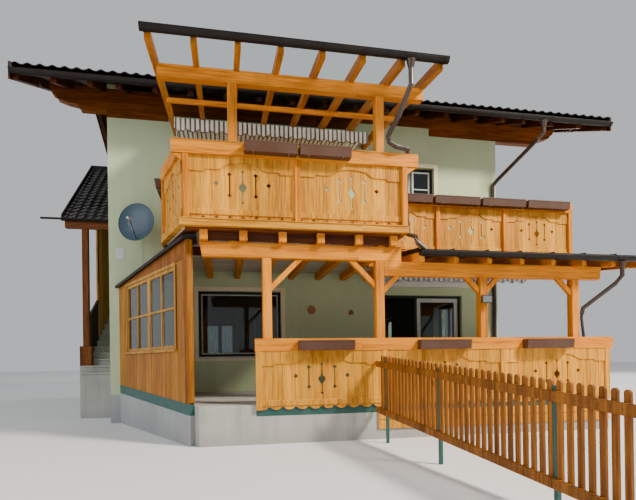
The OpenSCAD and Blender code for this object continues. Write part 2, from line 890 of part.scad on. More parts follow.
module canopy_glass() {
    color("lightblue", 0.5) house()
        along_x(canopy_x0 - 60, canopy_x1 - canopy_x0 + 120) polygon([
            [-canopy_out - 30, canopy_under(-canopy_out - 30) + canopy_v + bed],
            [-10, canopy_under(-10) + canopy_v + bed],
            [-10, canopy_under(-10) + canopy_v + bed + canopy_glass_v],
            [-canopy_out - 30, canopy_under(-canopy_out - 30) + canopy_v + bed + canopy_glass_v]
        ]);
}

// Balconies

// Posts and the pipe that pass through the deck and the ceiling
module through_deck(z0, z1) {
    for (x = canopy_posts_x)
        block([x - post_w / 2, -beam_front, z0], [x + post_w / 2, -beam_back, z1]);
    translate([house_w - 110, -50, z0]) cylinder(r = pipe_r + 8, h = z1 - z0);
}

// The deck with the ledge that runs along its edge and carries the newels
module balcony_deck() {
    color("burlywood") house() difference() {
        union() {
            translate([0, 0, deck_low]) linear_extrude(deck_t) polygon(deck_path);
            outside() band(deck_path, -1, 100, deck_low, ledge_h);
        }
        through_deck(deck_low - 1, deck_z + 1);
    }
}

module porch_ceiling() {
    color("ivory") house() difference() {
        translate([0, 0, joist_top]) linear_extrude(ceiling_t) polygon(deck_path);
        through_deck(joist_top - 1, deck_low + 1);
    }
}

// Joists: those of the bay lie on the left beam, the others butt on an edge beam
module balcony_joists() {
    edge = right_out + board_t;
    color("peru") house() {
        for (x = bay_joists_x)
            block([x - joist_w / 2, x < 1800 ? -2340 : -bay_out, joist_low],
                [x + joist_w / 2, 0, joist_top]);
        for (x = right_joists_x)
            block([x - joist_w / 2, -edge + 100, joist_low], [x + joist_w / 2, 0, joist_top]);
        block([5110, -edge, joist_low], [house_w + deck_past, -edge + 101, joist_top]);
    }
}

newel_low = deck_low + ledge_h;
newel_top = deck_z + rail_up - rail_h;

// Square posts in front of the deck's edge at the corners and between the bays
module newel(p, a) {
    translate([p.x, p.y, newel_low]) rotate([0, 0, a])
        translate([-newel_w / 2, -newel_w, 0]) cube([newel_w, newel_w, newel_top - newel_low]);
}

bay_mid = (deck_path[2].x + deck_path[3].x) / 2;
right_from = deck_path[3].x - 30;
right_thirds = [for (i = [1 : 2]) round(right_from + i * (house_w + deck_past - right_from) / 3)];

module balcony_newels() {
    color("peru") house() {
        for (x = [deck_path[2].x + 20, bay_mid, deck_path[3].x + newel_w / 2])
            newel([x, -bay_out], 0);
        for (x = concat(right_thirds, [house_w + deck_past + newel_w / 2]))
            newel([x, -right_out], 0);
        newel([1430, -2340 + newel_w / 2], -90);
    }
}

// Cut-outs of the balustrade, each cut from the meeting edges of two boards
module diamond(s) rotate(45) square(s, center = true);

module slot(l) {
    square([16, l], center = true);
    for (z = [-l / 2, l / 2]) translate([0, z]) diamond(46);
}

// A lily on a long stem, with a small diamond at either end of the stem
module lily(l) {
    square([14, l], center = true);
    for (z = [-l / 2, l / 2]) translate([0, z]) diamond(36);
    polygon([
        [0, 110], [13, 70], [22, 40], [50, 22], [58, -4], [44, -38], [24, -62],
        [0, -92], [-24, -62], [-44, -38], [-58, -4], [-50, 22], [-22, 40], [-13, 70]
    ]);
}

// Boards of one bay: an even number, each with a round foot, cut on their seams
module fret_bay(l, h, cut) {
    n = 2 * max(1, round(l / board_w / 2));
    w = l / n;
    foot = 45;
    difference() {
        union() {
            translate([0, foot]) square([l, h - foot]);
            for (i = [0 : n - 1]) translate([(i + 0.5) * w, foot]) intersection() {
                translate([0, 0.32 * w]) circle(0.32 * w + foot);
                translate([-w / 2, -foot]) square([w, foot + 20]);
            }
        }
        if (cut) {
            translate([l / 2, h * 0.52]) lily(h * 0.5);
            for (s = [-1, 1]) {
                if (n > 3) translate([l / 2 + s * w, h * 0.55]) slot(h * 0.34);
                if (n > 5) translate([l / 2 + s * 2 * w, h * 0.57]) diamond(52);
            }
        }
    }
}

// Left half of the apron's lower edge, as shares of the bay: a step, an ogee, an arch
apron_edge = [
    [0, 0.75], [0.145, 0.75], [0.145, 0.785], [0.27, 0.785], [0.3, 0.805],
    [0.33, 0.84], [0.36, 0.875], [0.4, 0.89], [0.45, 0.9], [0.5, 0.903]
];

// The apron under the rail, in front of the boards
module apron(l, h) {
    left = [for (p = apron_edge) [p.x * l, p.y * h]];
    right = [for (i = [len(apron_edge) - 2 : -1 : 0])
        [(1 - apron_edge[i].x) * l, apron_edge[i].y * h]];
    polygon(concat([[0, h]], left, right, [[l, h]]));
}

// Boards with the apron and a foot rail on their outer face
module fret_panel(l, h) {
    to_front(0, board_t) fret_bay(l, h, true);
    to_front(-board_t + 1, 18) {
        apron(l, h);
        translate([0, 55]) square([l, 95]);
    }
}

// Places a panel on a segment of the deck's edge
module panel_on(a, b, skip_a, skip_b, z, h) {
    d = unit(b - a);
    p = a + d * skip_a;
    translate([p.x, p.y, z]) rotate([0, 0, atan2(d.y, d.x)])
        fret_panel(norm(b - a) - skip_a - skip_b, h);
}

panel_low = newel_low + 10;
panel_h = newel_top - panel_low;

module bay_panels() {
    e = deck_path;
    s = newel_w / 2;
    color("burlywood") house() {
        panel_on([e[2].x + 20, -bay_out], [bay_mid, -bay_out], s, s, panel_low, panel_h);
        panel_on([bay_mid, -bay_out], [e[3].x, -bay_out], s, 0, panel_low, panel_h);
        panel_on(e[0], e[1], 0, newel_w, panel_low, panel_h);
        panel_on(e[1], e[2], 35, 45, panel_low, panel_h);
        panel_on(e[3], e[4], 0, board_t + 25, panel_low, panel_h);
    }
}

module right_balcony_panels() {
    end = house_w + deck_past;
    y = -right_out;
    s = newel_w / 2;
    color("burlywood") house() {
        panel_on([5110 + board_t + 20, y], [right_thirds[0], y], 0, s, panel_low, panel_h);
        panel_on([right_thirds[0], y], [right_thirds[1], y], s, s, panel_low, panel_h);
        panel_on([right_thirds[1], y], [end, y], s, 0, panel_low, panel_h);
        panel_on([end, y], [end, 0], 0, 20, panel_low, panel_h);
        panel_on([end, 0], [house_w, 0], 0, 0, panel_low, panel_h);
    }
}

// The rail; its front length runs on past the corners of the bay
module balcony_rail() {
    color("peru") house() difference() {
        union() {
            band(deck_path, -10, newel_w, newel_top, rail_h);
            block([deck_path[2].x - 180, -bay_out - newel_w, newel_top],
                [deck_path[3].x + 270, 10 - bay_out, newel_top + rail_h]);
        }
        block([-10, 0, newel_top - 1], [house_w, 1000, newel_top + rail_h + 1]);
    }
}

// Porch

module porch_posts() {
    tops = [left_beam_low, left_beam_low, right_beam_low, right_beam_low];
    color("peru") house() for (i = [0 : 3])
        block([porch_posts_x[i] - post_w / 2, -beam_front, floor_z],
            [porch_posts_x[i] + post_w / 2, -beam_back, tops[i]]);
}

module porch_beam_left() {
    color("peru") house() to_front(-beam_back, post_w) polygon([
        [left_beam_x[0], joist_low], [left_beam_x[0] + 40, left_beam_low],
        [left_beam_x[1], left_beam_low], [left_beam_x[1], joist_low]
    ]);
}

module porch_beam_right() {
    x0 = porch_posts_x[1] + post_w / 2;
    color("peru") house() to_front(-beam_back, post_w) polygon([
        [x0, right_beam_low], [right_beam_end - 30, right_beam_low],
        [right_beam_end, left_beam_low], [x0, left_beam_low]
    ]);
}

// A brace between a post's face x and a beam's underside z, to the side s
module brace(x, z, leg, s) {
    t = 80 * sqrt(2);
    to_front(-porch_out + 40, 80) translate([x, z]) polygon([
        [0, -leg], [s * leg, 0], [s * (leg - t), 0], [0, -leg + t]
    ]);
}

module knee_braces() {
    h = post_w / 2;
    p = porch_posts_x;
    color("peru") house() {
        brace(p[0] + h, left_beam_low, 500, 1);
        brace(p[1] - h, left_beam_low, 440, -1);
        brace(p[1] + h, right_beam_low, 290, 1);
        brace(p[2] - h, right_beam_low, 270, -1);
        brace(p[2] + h, right_beam_low, 260, 1);
        brace(p[3] - h, right_beam_low, 280, -1);
    }
}

lower_end = right_out + board_t;

module lower_rafters() {
    w = 80;
    step = (lower_x[1] - lower_x[0] - w - 30) / 7;
    color("peru") house()
        for (i = [0 : 7])
            along_x(lower_x[0] + 20 + i * step, w) polygon([
                [-lower_tail, lower_under(-lower_tail)], [-beam_front, lower_under(-beam_front)],
                [-beam_front, left_beam_low], [-beam_back, left_beam_low],
                [-lower_end, lower_under(-lower_end)],
                [-lower_end, lower_under(-lower_end) + lower_v],
                [-lower_tail, lower_under(-lower_tail) + lower_v]
            ]);
}

module lower_roof() {
    end = right_out + 100;
    color("saddlebrown") house()
        along_x(lower_x[0], lower_x[1] - lower_x[0]) polygon([
            [-lower_tail - 20, lower_under(-lower_tail - 20) + lower_v + bed],
            [-end, lower_under(-end) + lower_v + bed],
            [-end, lower_under(-end) + lower_v + bed + lower_roof_v],
            [-lower_tail - 20, lower_under(-lower_tail - 20) + lower_v + bed + lower_roof_v]
        ]);
}

// Terrace

entry_x = [1900, 2790];
terrace_end = house_w + terrace_past;

module terrace_base() {
    color("darkgray") house() outside() linear_extrude(base_h) polygon([
        [screen_inside(0), 0], [screen_inside(terrace_out), -terrace_out],
        [terrace_end, -terrace_out], [terrace_end, 0]
    ]);
}

terrace_panel_low = floor_z - 80;
terrace_panel_top = floor_z + terrace_rail_up - terrace_rail_h;

module terrace_panels() {
    h = terrace_panel_top - terrace_panel_low;
    y = -terrace_out;
    x0 = entry_x[1];
    third = (terrace_end - x0) / 3;
    color("burlywood") house() {
        for (i = [0 : 2])
            panel_on([x0 + i * third, y], [x0 + (i + 1) * third, y], 4, 4, terrace_panel_low, h);
        panel_on([terrace_end, y], [terrace_end, -10], 0, 0, terrace_panel_low, h);
        for (i = [0 : 3]) {
            x = min(max(x0 + i * third, x0 + 50), terrace_end - 50);
            block([x - 45, y - board_t - 28, terrace_panel_low],
                [x + 45, y - board_t + 1, terrace_panel_top]);
        }
        block([fence_start.x + 60, y - board_t, 160], [terrace_end, y, floor_z - 150]);
    }
}

module terrace_rail() {
    path = [[entry_x[1], -terrace_out], [terrace_end, -terrace_out], [terrace_end, 0]];
    color("peru") house() band(path, -30, 60, terrace_panel_top, terrace_rail_h);
}

// Entrance screen: a boarded wall with two windows, set at an angle to the house

module at_screen() translate([screen_x, 0, 0]) rotate([0, 0, screen_a]) children();

module screen_plinth() {
    color("darkgreen") house() outside() at_screen() translate([0, screen_t, 0])
        to_front(0, screen_t) polygon([
            [-200, 0], [screen_l, 0], [screen_l, screen_low[1]], [-200, screen_low[0]]
        ]);
}

module screen_wall() {
    color("chocolate") house() outside() intersection() {
        at_screen() difference() {
            translate([0, screen_t, 0]) to_front(0, screen_t) polygon([
                [-200, screen_low[0]], [screen_l, screen_low[1]],
                [screen_l, joist_top], [-200, joist_top]
            ]);
            block([screen_win[0], -1, floor_z + screen_sill],
                [screen_win[1], screen_t + 1, floor_z + screen_head]);
        }
        to_front(1000, 6000) polygon([
            [-1000, 0], [3000, 0], [3000, screen_under(3000)], [-1000, screen_under(-1000)]
        ]);
    }
}

// Two windows with cross bars: what lies in their lights, from y on
module screen_lights(y, t) {
    f = frame_w;
    bar = 36;
    mid = (screen_win[0] + screen_win[1]) / 2;
    low = floor_z + screen_sill + f;
    high = floor_z + screen_head - f;
    for (s = [[screen_win[0] + f, mid - f], [mid + f, screen_win[1] - f]])
        for (x = [[s[0], (s[0] + s[1] - bar) / 2], [(s[0] + s[1] + bar) / 2, s[1]]])
            for (z = [[low, (low + high - bar) / 2], [(low + high + bar) / 2, high]])
                block([x[0], y, z[0]], [x[1], y + t, z[1]]);
}

module screen_windows() {
    color("wheat") house() at_screen() difference() {
        block([screen_win[0], 10, floor_z + screen_sill],
            [screen_win[1], screen_t - 10, floor_z + screen_head]);
        screen_lights(0, screen_t);
    }
}

module screen_panes() at_screen() screen_lights((screen_t - glass_t) / 2, glass_t);

// The narrow roof between the screen and the balcony, with an upstand to the ceiling
module screen_roof() {
    end = screen_end_x + 130;
    color("saddlebrown") house() outside() {
        intersection() {
            to_front(0, porch_out + 60) polygon([
                [0, screen_under(0) + bed], [end, screen_under(end) + bed],
                [end, screen_under(end) + bed + 50], [0, screen_under(0) + bed + 50]
            ]);
            linear_extrude(joist_top + 100) polygon([
                [0, 0], [screen_x - 80, 0], [screen_end_x - 60, -porch_out - 60],
                [end, -porch_out - 60], [end, deck_path[1].y - 560],
                [deck_path[1].x + 110, deck_path[1].y], deck_path[1], deck_path[0]
            ]);
        }
        block([deck_path[1].x - 40, deck_path[1].y, screen_under(deck_path[1].x) + bed],
            [deck_path[0].x, 0, joist_top]);
    }
}

// Stair

module stair_steps() {
    foot_y = stair_y - 200 - 2 * step_go;
    outline = concat(
        [[stair_end, 0], [foot_y, 0], [foot_y, street_h - rise_1],
            [foot_y + step_go, street_h - rise_1], [foot_y + step_go, street_h]],
        [for (i = [0 : steps - 1]) each [
            [stair_y + i * step_go, street_h + i * rise_1],
            [stair_y + i * step_go, street_h + (i + 1) * rise_1]]],
        [[stair_end, landing_z]]);
    color("silver") house() {
        along_x(-stair_w, stair_w) polygon(outline);
        block([-stair_w - 150, stair_y - 200, 0], [-stair_w + 110, stair_y, street_h]);
    }
}

// Boarded side of the flight and the landing
module stair_side() {
    y1 = stair_y + flight_l;
    up = 950;
    bend = stair_y - stair_roof_past + stair_roof_run;
    step_fall = (landing_z - street_h - rise_1) / flight_l;
    color("saddlebrown") house() {
        along_x(-stair_w - 60, 60) polygon([
            [stair_y, street_h], [stair_y, street_h + rise_1 + up],
            [bend, street_h + rise_1 + up + (bend - stair_y) * step_fall],
            [bend, stair_roof_z], [stair_end, stair_roof_z],
            [stair_end, landing_z - 250], [y1, landing_z - 250]
        ]);
        block([-stair_w - 150, stair_y - 200, street_h], [-stair_w + 110, stair_y, pier_top]);
        block([-stair_w - 90, stair_y - 140, pier_top], [-stair_w + 50, stair_y, stair_roof_low]);
        block([-stair_w - 60, stair_end, landing_z - 250], [0, stair_end + 60, stair_roof_z]);
    }
}

stair_roof_low = landing_z + stair_post_up;
// Underside of the stair roof's level part, less the bed
stair_roof_z = stair_roof_low + (stair_roof_run - stair_roof_past + 140) * tan(stair_pitch) - bed;

module stair_roof() {
    y0 = stair_y - stair_roof_past;
    y1 = y0 + stair_roof_run;
    y2 = stair_end + stair_roof_end;
    z0 = stair_roof_low - (stair_roof_past - 140) * tan(stair_pitch);
    z1 = z0 + (y1 - y0) * tan(stair_pitch);
    v = stair_roof_t / cos(stair_pitch);
    color("dimgray") house() along_x(-stair_w - 140, stair_w + 140) polygon([
        [y0, z0], [y1, z1], [y2, z1], [y2, z1 + v], [y1, z1 + v], [y0, z0 + v]
    ]);
}

// Dish

dish_c = [650, -420, upper_z + 490];

module at_dish() translate(dish_c) rotate([0, 0, -20]) rotate([86, 0, 0]) children();

// A bowl on a wall bracket, with its feed arm
module satellite_dish() {
    r = dish_d / 2;
    focus = 520;
    color("slategray") house() {
        at_dish() {
            rotate_extrude($fn = 64) polygon(concat(
                [for (i = [0 : 12]) [r * i / 12, pow(r * i / 12, 2) / (4 * focus)]],
                [for (i = [12 : -1 : 0]) [r * i / 12, pow(r * i / 12, 2) / (4 * focus) - 12]]));
            translate([0, 0, -52]) cylinder(r = 45, h = 44);
            translate([0, -r + 20, 40]) rotate([-50, 0, 0]) cylinder(r = 14, h = 500);
        }
        block([dish_c.x - 25, dish_c.y + 40, dish_c.z - 60], [dish_c.x + 25, 0, dish_c.z - 10]);
    }
}

// Awnings: left end, right end, reach, height of the bar, length of the valance
bar_w = 30;
cloth_t = 6;
bar_drop = bar_w + 80;
awnings = [
    [1460, 5290, upper_reach, canopy_under(-upper_reach) - bar_w - 20, upper_valance],
    [5690, house_w - 240, lower_reach, joist_low - 20 - bar_drop, lower_valance]
];

// A cassette on the wall, a bar in front of it and two arms
module awning_frame(a) {
    top = a[3] + bar_drop;
    block([a[0], -cassette_d, top - cassette_h], [a[1], 0, top]);
    block([a[0], -a[2], a[3]], [a[1], bar_w - a[2], a[3] + bar_w]);
    for (x = [a[0] + 350, a[1] - 350])
        block([x, bar_w - a[2] - 1, a[3]], [x + bar_w, 1 - cassette_d, a[3] + bar_w]);
}

module awning_frames() {
    color("ivory") house() for (a = awnings) awning_frame(a);
}

// The cloth lies from the cassette to the bar and hangs down in front of it
module awning_cloth(a) {
    top = a[3] + bar_w;
    n = round((a[1] - a[0]) / 250);
    w = (a[1] - a[0]) / n;
    along_x(a[0], a[1] - a[0]) polygon([
        [-a[2] - cloth_t, top - 60], [-a[2], top - 60], [-a[2], top],
        [-cassette_d, top + 70], [-cassette_d, top + 70 + cloth_t],
        [-a[2] - cloth_t, top + cloth_t]
    ]);
    to_front(-a[2], cloth_t) for (i = [0 : n - 1]) translate([a[0] + i * w, top - a[4]]) {
        translate([0, 50]) square([w, a[4] - 60]);
        translate([w / 2, 60]) circle(60);
        translate([w / 2 - 59, 49]) square([118, 12]);
    }
}

module awning_cloths() {
    color("wheat") house() for (a = awnings) awning_cloth(a);
}

// Flower boxes, filled with soil, on the outside of the rails: middle, length, turn
box_h = 150;
box_w = 160;
bay_boxes = [[[3050, -bay_out - newel_w], 780, 0], [[3870, -bay_out - newel_w], 780, 0],
    [[1430 - newel_w, -1500], 950, -90]];
right_boxes = [for (i = [0 : 3]) [[house_w - 2980 + i * 1010, -right_out - newel_w], 950, 0]];
terrace_boxes = [for (x = [3870, house_w - 3080, house_w - 1220]) [[x, -terrace_out - 60], 860, 0]];

module flower_box(b, z) {
    translate([b[0].x, b[0].y - (b[2] == 0 ? 0.3 : 0), z]) rotate([0, 0, b[2]])
        along_x(-b[1] / 2, b[1]) polygon([
            [0, 0], [0, box_h], [-box_w, box_h], [-box_w + 25, 0]
        ]);
}

module flower_boxes() {
    color("saddlebrown") house() {
        for (b = concat(bay_boxes, right_boxes)) flower_box(b, newel_top + 30);
        for (b = terrace_boxes) flower_box(b, terrace_panel_top + 5);
    }
}

// A floodlight on the third post, a bare number plate and two clay ornaments
module wall_fittings() {
    p = porch_posts_x[2];
    z = right_beam_low - 370;
    color("silver") house() {
        block([p - 90, -beam_front - 110, z - 65], [p + 90, -beam_front - 40, z + 65]);
        block([p - 20, -beam_front - 41, z - 30], [p + 20, -beam_front, z + 10]);
        block([135, -8, upper_z - 170], [305, 0, upper_z + 70]);
        translate([4280, 0, floor_z + 1790]) rotate([90, 0, 0]) cylinder(r = 130, h = 18);
        translate([5200, 0, floor_z + 1700]) rotate([90, 0, 0]) {
            cylinder(r = 60, h = 18);
            translate([-60, 0, 0]) cube([120, 110, 18]);
        }
    }
}

// Fence

module at_fence() translate([fence_start.x, fence_start.y, 0]) rotate([0, 0, fence_a]) children();

function picket_z(x) = picket_top - x * fence_fall;

module fence_posts() {
    color("darkgreen") house() at_fence() for (x = fence_posts_x)
        block([x - steel_w / 2, 0, 0], [x + steel_w / 2, steel_w, picket_z(x) - 45]);
}

// Two rails in front of the posts, with pickets behind them that stand clear of the posts
module fence_bay(i) {
    x0 = i == 0 ? 0 : i * bay_l + 2;
    x1 = (i + 1) * bay_l + (i == bays - 1 ? steel_w / 2 : -2);
    for (drop = [picket_h - 5, 90 + fence_rail_h]) to_front(0, fence_rail_t) polygon([
        [x0, picket_z(x0) - drop], [x1, picket_z(x1) - drop],
        [x1, picket_z(x1) - drop + fence_rail_h], [x0, picket_z(x0) - drop + fence_rail_h]
    ]);
    for (k = [(i == 0 ? 1 : 0) : bay_pickets - 1]) {
        x = i * bay_l + (k + 0.5) * picket_pitch;
        to_front(picket_t - 1, picket_t) translate([x, picket_z(x)]) {
            translate([-picket_w / 2, -picket_h]) square([picket_w, picket_h - picket_w / 2]);
            translate([0, -picket_w / 2]) circle(picket_w / 2);
        }
    }
}

module fence_panels() {
    color("peru") house() at_fence() for (i = [0 : bays - 1]) fence_bay(i);
}

foundation();
front_wall_left();
front_wall_right();
front_wall_over_door();
left_wall();
right_wall();
back_wall();
upper_floor();
window_surrounds();
window_frames();
ground_glass();
upper_glass();
upper_doors();
terrace_door_frame();
terrace_door_fixed_leaf();
terrace_door_leaf();
terrace_door_pane();
purlins();
rafters();
roof_front_slope();
roof_back_slope();
barge_boards();
ridge_cap();
gutters();
downpipes();
canopy_beams();
canopy_posts();
canopy_rafters();
canopy_glass();
balcony_deck();
balcony_joists();
balcony_newels();
bay_panels();
right_balcony_panels();
balcony_rail();
porch_posts();
porch_beam_left();
porch_beam_right();
knee_braces();
porch_ceiling();
lower_rafters();
lower_roof();
terrace_base();
terrace_panels();
terrace_rail();
screen_plinth();
screen_wall();
screen_windows();
screen_roof();
stair_steps();
stair_side();
stair_roof();
satellite_dish();
awning_frames();
awning_cloths();
flower_boxes();
wall_fittings();
fence_posts();
fence_panels();
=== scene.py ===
"""Dressed model of an alpine chalet, in metres and in the frame of its solids."""
import logging
import math
import random
from dataclasses import dataclass
from enum import Enum
from typing import Iterable, Optional, Sequence, Union

import bmesh
import bpy
from mathutils import Matrix, Quaternion, Vector


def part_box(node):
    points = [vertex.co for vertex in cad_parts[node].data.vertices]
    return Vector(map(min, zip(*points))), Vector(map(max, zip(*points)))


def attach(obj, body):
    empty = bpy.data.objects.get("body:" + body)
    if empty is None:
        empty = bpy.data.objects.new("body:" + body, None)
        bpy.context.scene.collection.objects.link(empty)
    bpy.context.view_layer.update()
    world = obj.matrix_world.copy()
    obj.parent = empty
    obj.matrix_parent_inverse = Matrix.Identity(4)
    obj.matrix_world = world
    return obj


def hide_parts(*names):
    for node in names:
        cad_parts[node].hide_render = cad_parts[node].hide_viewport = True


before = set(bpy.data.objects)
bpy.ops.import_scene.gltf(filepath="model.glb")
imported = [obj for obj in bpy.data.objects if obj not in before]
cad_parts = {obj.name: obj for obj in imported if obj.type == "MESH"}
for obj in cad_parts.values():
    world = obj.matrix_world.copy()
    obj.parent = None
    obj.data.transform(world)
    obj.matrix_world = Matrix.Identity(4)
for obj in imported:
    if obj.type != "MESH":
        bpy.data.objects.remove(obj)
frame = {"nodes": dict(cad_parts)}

LOG = logging.getLogger("chalet")
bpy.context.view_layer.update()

Tone = tuple[float, float, float]
Value = Union[float, Sequence[float], bpy.types.NodeSocket]


class Grain(Enum):
    """Axis along which the fibres of a timber run."""

    ALONG = 0
    INWARD = 1
    UPRIGHT = 2


class Body(Enum):
    """Rigid bodies of the house."""

    HOUSE = "house"
    LEAF = "door_leaf"


# Materials


class Recipe:
    """A material's node tree, filled step by step."""

    def __init__(self, name: str) -> None:
        """Starts a material.

        Args:
            name: Name of the material.
        """
        self.material = bpy.data.materials.new(name)
        self.material.use_nodes = True
        self.nodes = self.material.node_tree.nodes
        self.links = self.material.node_tree.links
        self.surface = self.nodes["Principled BSDF"]

    def node(self, kind: str, inputs: Optional[dict] = None, **settings: object) -> bpy.types.Node:
        """Adds a node.

        Args:
            kind: Node type without its ShaderNode prefix.
            inputs: Values or sockets by input name or index.
            **settings: Attributes of the node.

        Returns:
            The new node.
        """
        made = self.nodes.new("ShaderNode" + kind)
        for key, value in settings.items():
            setattr(made, key, value)
        for key, value in (inputs or {}).items():
            self.feed(made.inputs[key], value)
        return made

    def feed(self, socket: bpy.types.NodeSocket, value: Value) -> None:
        """Links a socket or sets its value.

        Args:
            socket: Input that receives the value.
            value: Another node's output, or a number or vector.
        """
        if isinstance(value, bpy.types.NodeSocket):
            self.links.new(value, socket)
        elif isinstance(value, (tuple, list)) and len(value) == 3 and socket.type == "RGBA":
            socket.default_value = (*value, 1.0)
        else:
            socket.default_value = value

    def where(self, scale: Sequence[float] = (1.0, 1.0, 1.0), moved: Optional[Value] = None) -> Value:
        """Gives the place on the object, stretched.

        Args:
            scale: Factor on each axis.
            moved: Vector that is added after the stretch.

        Returns:
            A vector output.
        """
        spot = self.node("TexCoord").outputs["Object"]
        spot = self.node("VectorMath", {0: spot, 1: scale}, operation="MULTIPLY").outputs[0]
        if moved is not None:
            spot = self.node("VectorMath", {0: spot, 1: moved}, operation="ADD").outputs[0]
        return spot

    def noise(self, spot: Value, scale: float, detail: float = 4.0, rough: float = 0.5) -> Value:
        """Adds fractal noise with its number of octaves and the strength of the finer ones."""
        inputs = {"Vector": spot, "Scale": scale, "Detail": detail, "Roughness": rough}
        return self.node("TexNoise", inputs).outputs[0]

    def cells(self, spot: Value, scale: float) -> Value:
        """Adds a grey that grows with the distance from the middles of random cells."""
        return self.node("TexVoronoi", {"Vector": spot, "Scale": scale}).outputs["Distance"]

    def chance(self, spot: Value, cell: Sequence[float]) -> Value:
        """Gives each cell of a grid its own random grey, with the cell's size on each axis."""
        snapped = self.node("VectorMath", {0: spot, 1: cell}, operation="SNAP").outputs[0]
        return self.node("TexWhiteNoise", {"Vector": snapped}).outputs["Value"]

    def ramp(self, grey: Value, stops: Sequence[tuple[float, Tone]]) -> Value:
        """Turns a grey into colours.

        Args:
            grey: Grey output.
            stops: Places on the ramp with their colours.

        Returns:
            A colour output.
        """
        made = self.node("ValToRGB", {0: grey})
        ramp = made.color_ramp
        while len(ramp.elements) < len(stops):
            ramp.elements.new(0.5)
        for element, (place, tone) in zip(ramp.elements, stops):
            element.position = place
            element.color = (*tone, 1.0)
        return made.outputs[0]

    def curve(self, grey: Value, low: float, high: float, out_low: float = 0.0,
              out_high: float = 1.0) -> Value:
        """Maps the greys from low to high to the range from out_low to out_high."""
        inputs = {0: grey, 1: low, 2: high, 3: out_low, 4: out_high}
        return self.node("MapRange", inputs).outputs[0]

    def blend(self, amount: Value, first: Value, second: Value, mode: str = "MIX") -> Value:
        """Mixes two colours.

        Args:
            amount: Share of the second colour.
            first: First colour.
            second: Second colour.
            mode: Blend mode.

        Returns:
            A colour output.
        """
        made = self.node("Mix", data_type="RGBA", blend_type=mode)
        self.feed(made.inputs[0], amount)
        self.feed(made.inputs[6], first)
        self.feed(made.inputs[7], second)
        return made.outputs[2]

    def sum(self, kind: str, first: Value, second: Value = 0.0) -> Value:
        """Calculates with two greys, by the named operation of a math node."""
        return self.node("Math", {0: first, 1: second}, operation=kind).outputs[0]

    def axis(self, spot: Value, index: int) -> Value:
        """Takes the coordinate with the given index, 0 to 2, of a place."""
        return self.node("SeparateXYZ", {0: spot}).outputs[index]

    def relief(self, height: Value, depth: float, strength: float = 1.0) -> None:
        """Presses a grey into the surface as bumps of the given depth in metres."""
        bump = self.node("Bump", {"Height": height, "Distance": depth, "Strength": strength})
        self.links.new(bump.outputs[0], self.surface.inputs["Normal"])

    def set(self, **values: Value) -> bpy.types.Material:
        """Sets inputs of the surface, with _ for a space in their names.

        Args:
            **values: Values or sockets by input name.

        Returns:
            The material.
        """
        for key, value in values.items():
            self.feed(self.surface.inputs[key.replace("_", " ")], value)
        return self.material


@dataclass(frozen=True)
class Timber:
    """Softwood with fibres along one axis, and joints between its boards."""

    name: str  # Name of the material
    light: Tone  # Colour of the early wood
    dark: Tone  # Colour of the late wood's lines
    grain: Grain = Grain.ALONG  # Axis of the fibres
    board: float = 0.2  # Width of a board, after which the tone changes
    sheen: float = 0.5  # Roughness of the glaze
    knots: float = 1.0  # Share of knots, from 0 to 1
    shine: float = 0.18  # Strength of its reflection

    def scaled(self, across: float, along: float) -> list[float]:
        """Gives one value on the two axes across the fibres and another along them."""
        return [along if axis == self.grain.value else across for axis in range(3)]

    def material(self) -> bpy.types.Material:
        """Builds the material."""
        recipe = Recipe(self.name)
        plain = recipe.where()
        tone = recipe.chance(plain, self.scaled(self.board, 60.0))
        offset = recipe.sum("MULTIPLY", tone, 37.0)
        fibres = recipe.noise(recipe.where(self.scaled(46.0, 2.2), offset), 1.0, 7.0, 0.62)
        rings = recipe.noise(recipe.where(self.scaled(7.0, 0.55), offset), 1.0, 3.0, 0.45)
        lines = recipe.sum("ADD", recipe.sum("MULTIPLY", fibres, 0.6), recipe.sum("MULTIPLY", rings, 0.4))
        deep = tuple(0.55 * part for part in self.dark)
        colour = recipe.ramp(lines, [(0.34, deep), (0.45, self.dark), (0.58, self.light)])
        eye = recipe.cells(recipe.where(self.scaled(2.6, 1.3), offset), 1.0)
        spots = recipe.curve(eye, 0.03, 0.075, self.knots, 0.0)
        colour = recipe.blend(spots, colour, deep)
        shade = recipe.curve(tone, 0.0, 1.0, 0.80, 1.1)
        worn = recipe.curve(recipe.noise(plain, 0.9, 3.0), 0.3, 0.75, 0.86, 1.05)
        both = recipe.sum("MULTIPLY", shade, worn)
        grey = recipe.node("CombineColor", {0: both, 1: both, 2: both}).outputs[0]
        colour = recipe.blend(1.0, colour, grey, "MULTIPLY")
        recipe.relief(recipe.sum("SUBTRACT", lines, recipe.sum("MULTIPLY", spots, 0.3)), 0.0016, 0.6)
        rough = recipe.curve(lines, 0.3, 0.7, self.sheen + 0.12, self.sheen - 0.06)
        return recipe.set(Base_Color=colour, Roughness=rough, Specular_IOR_Level=self.shine)


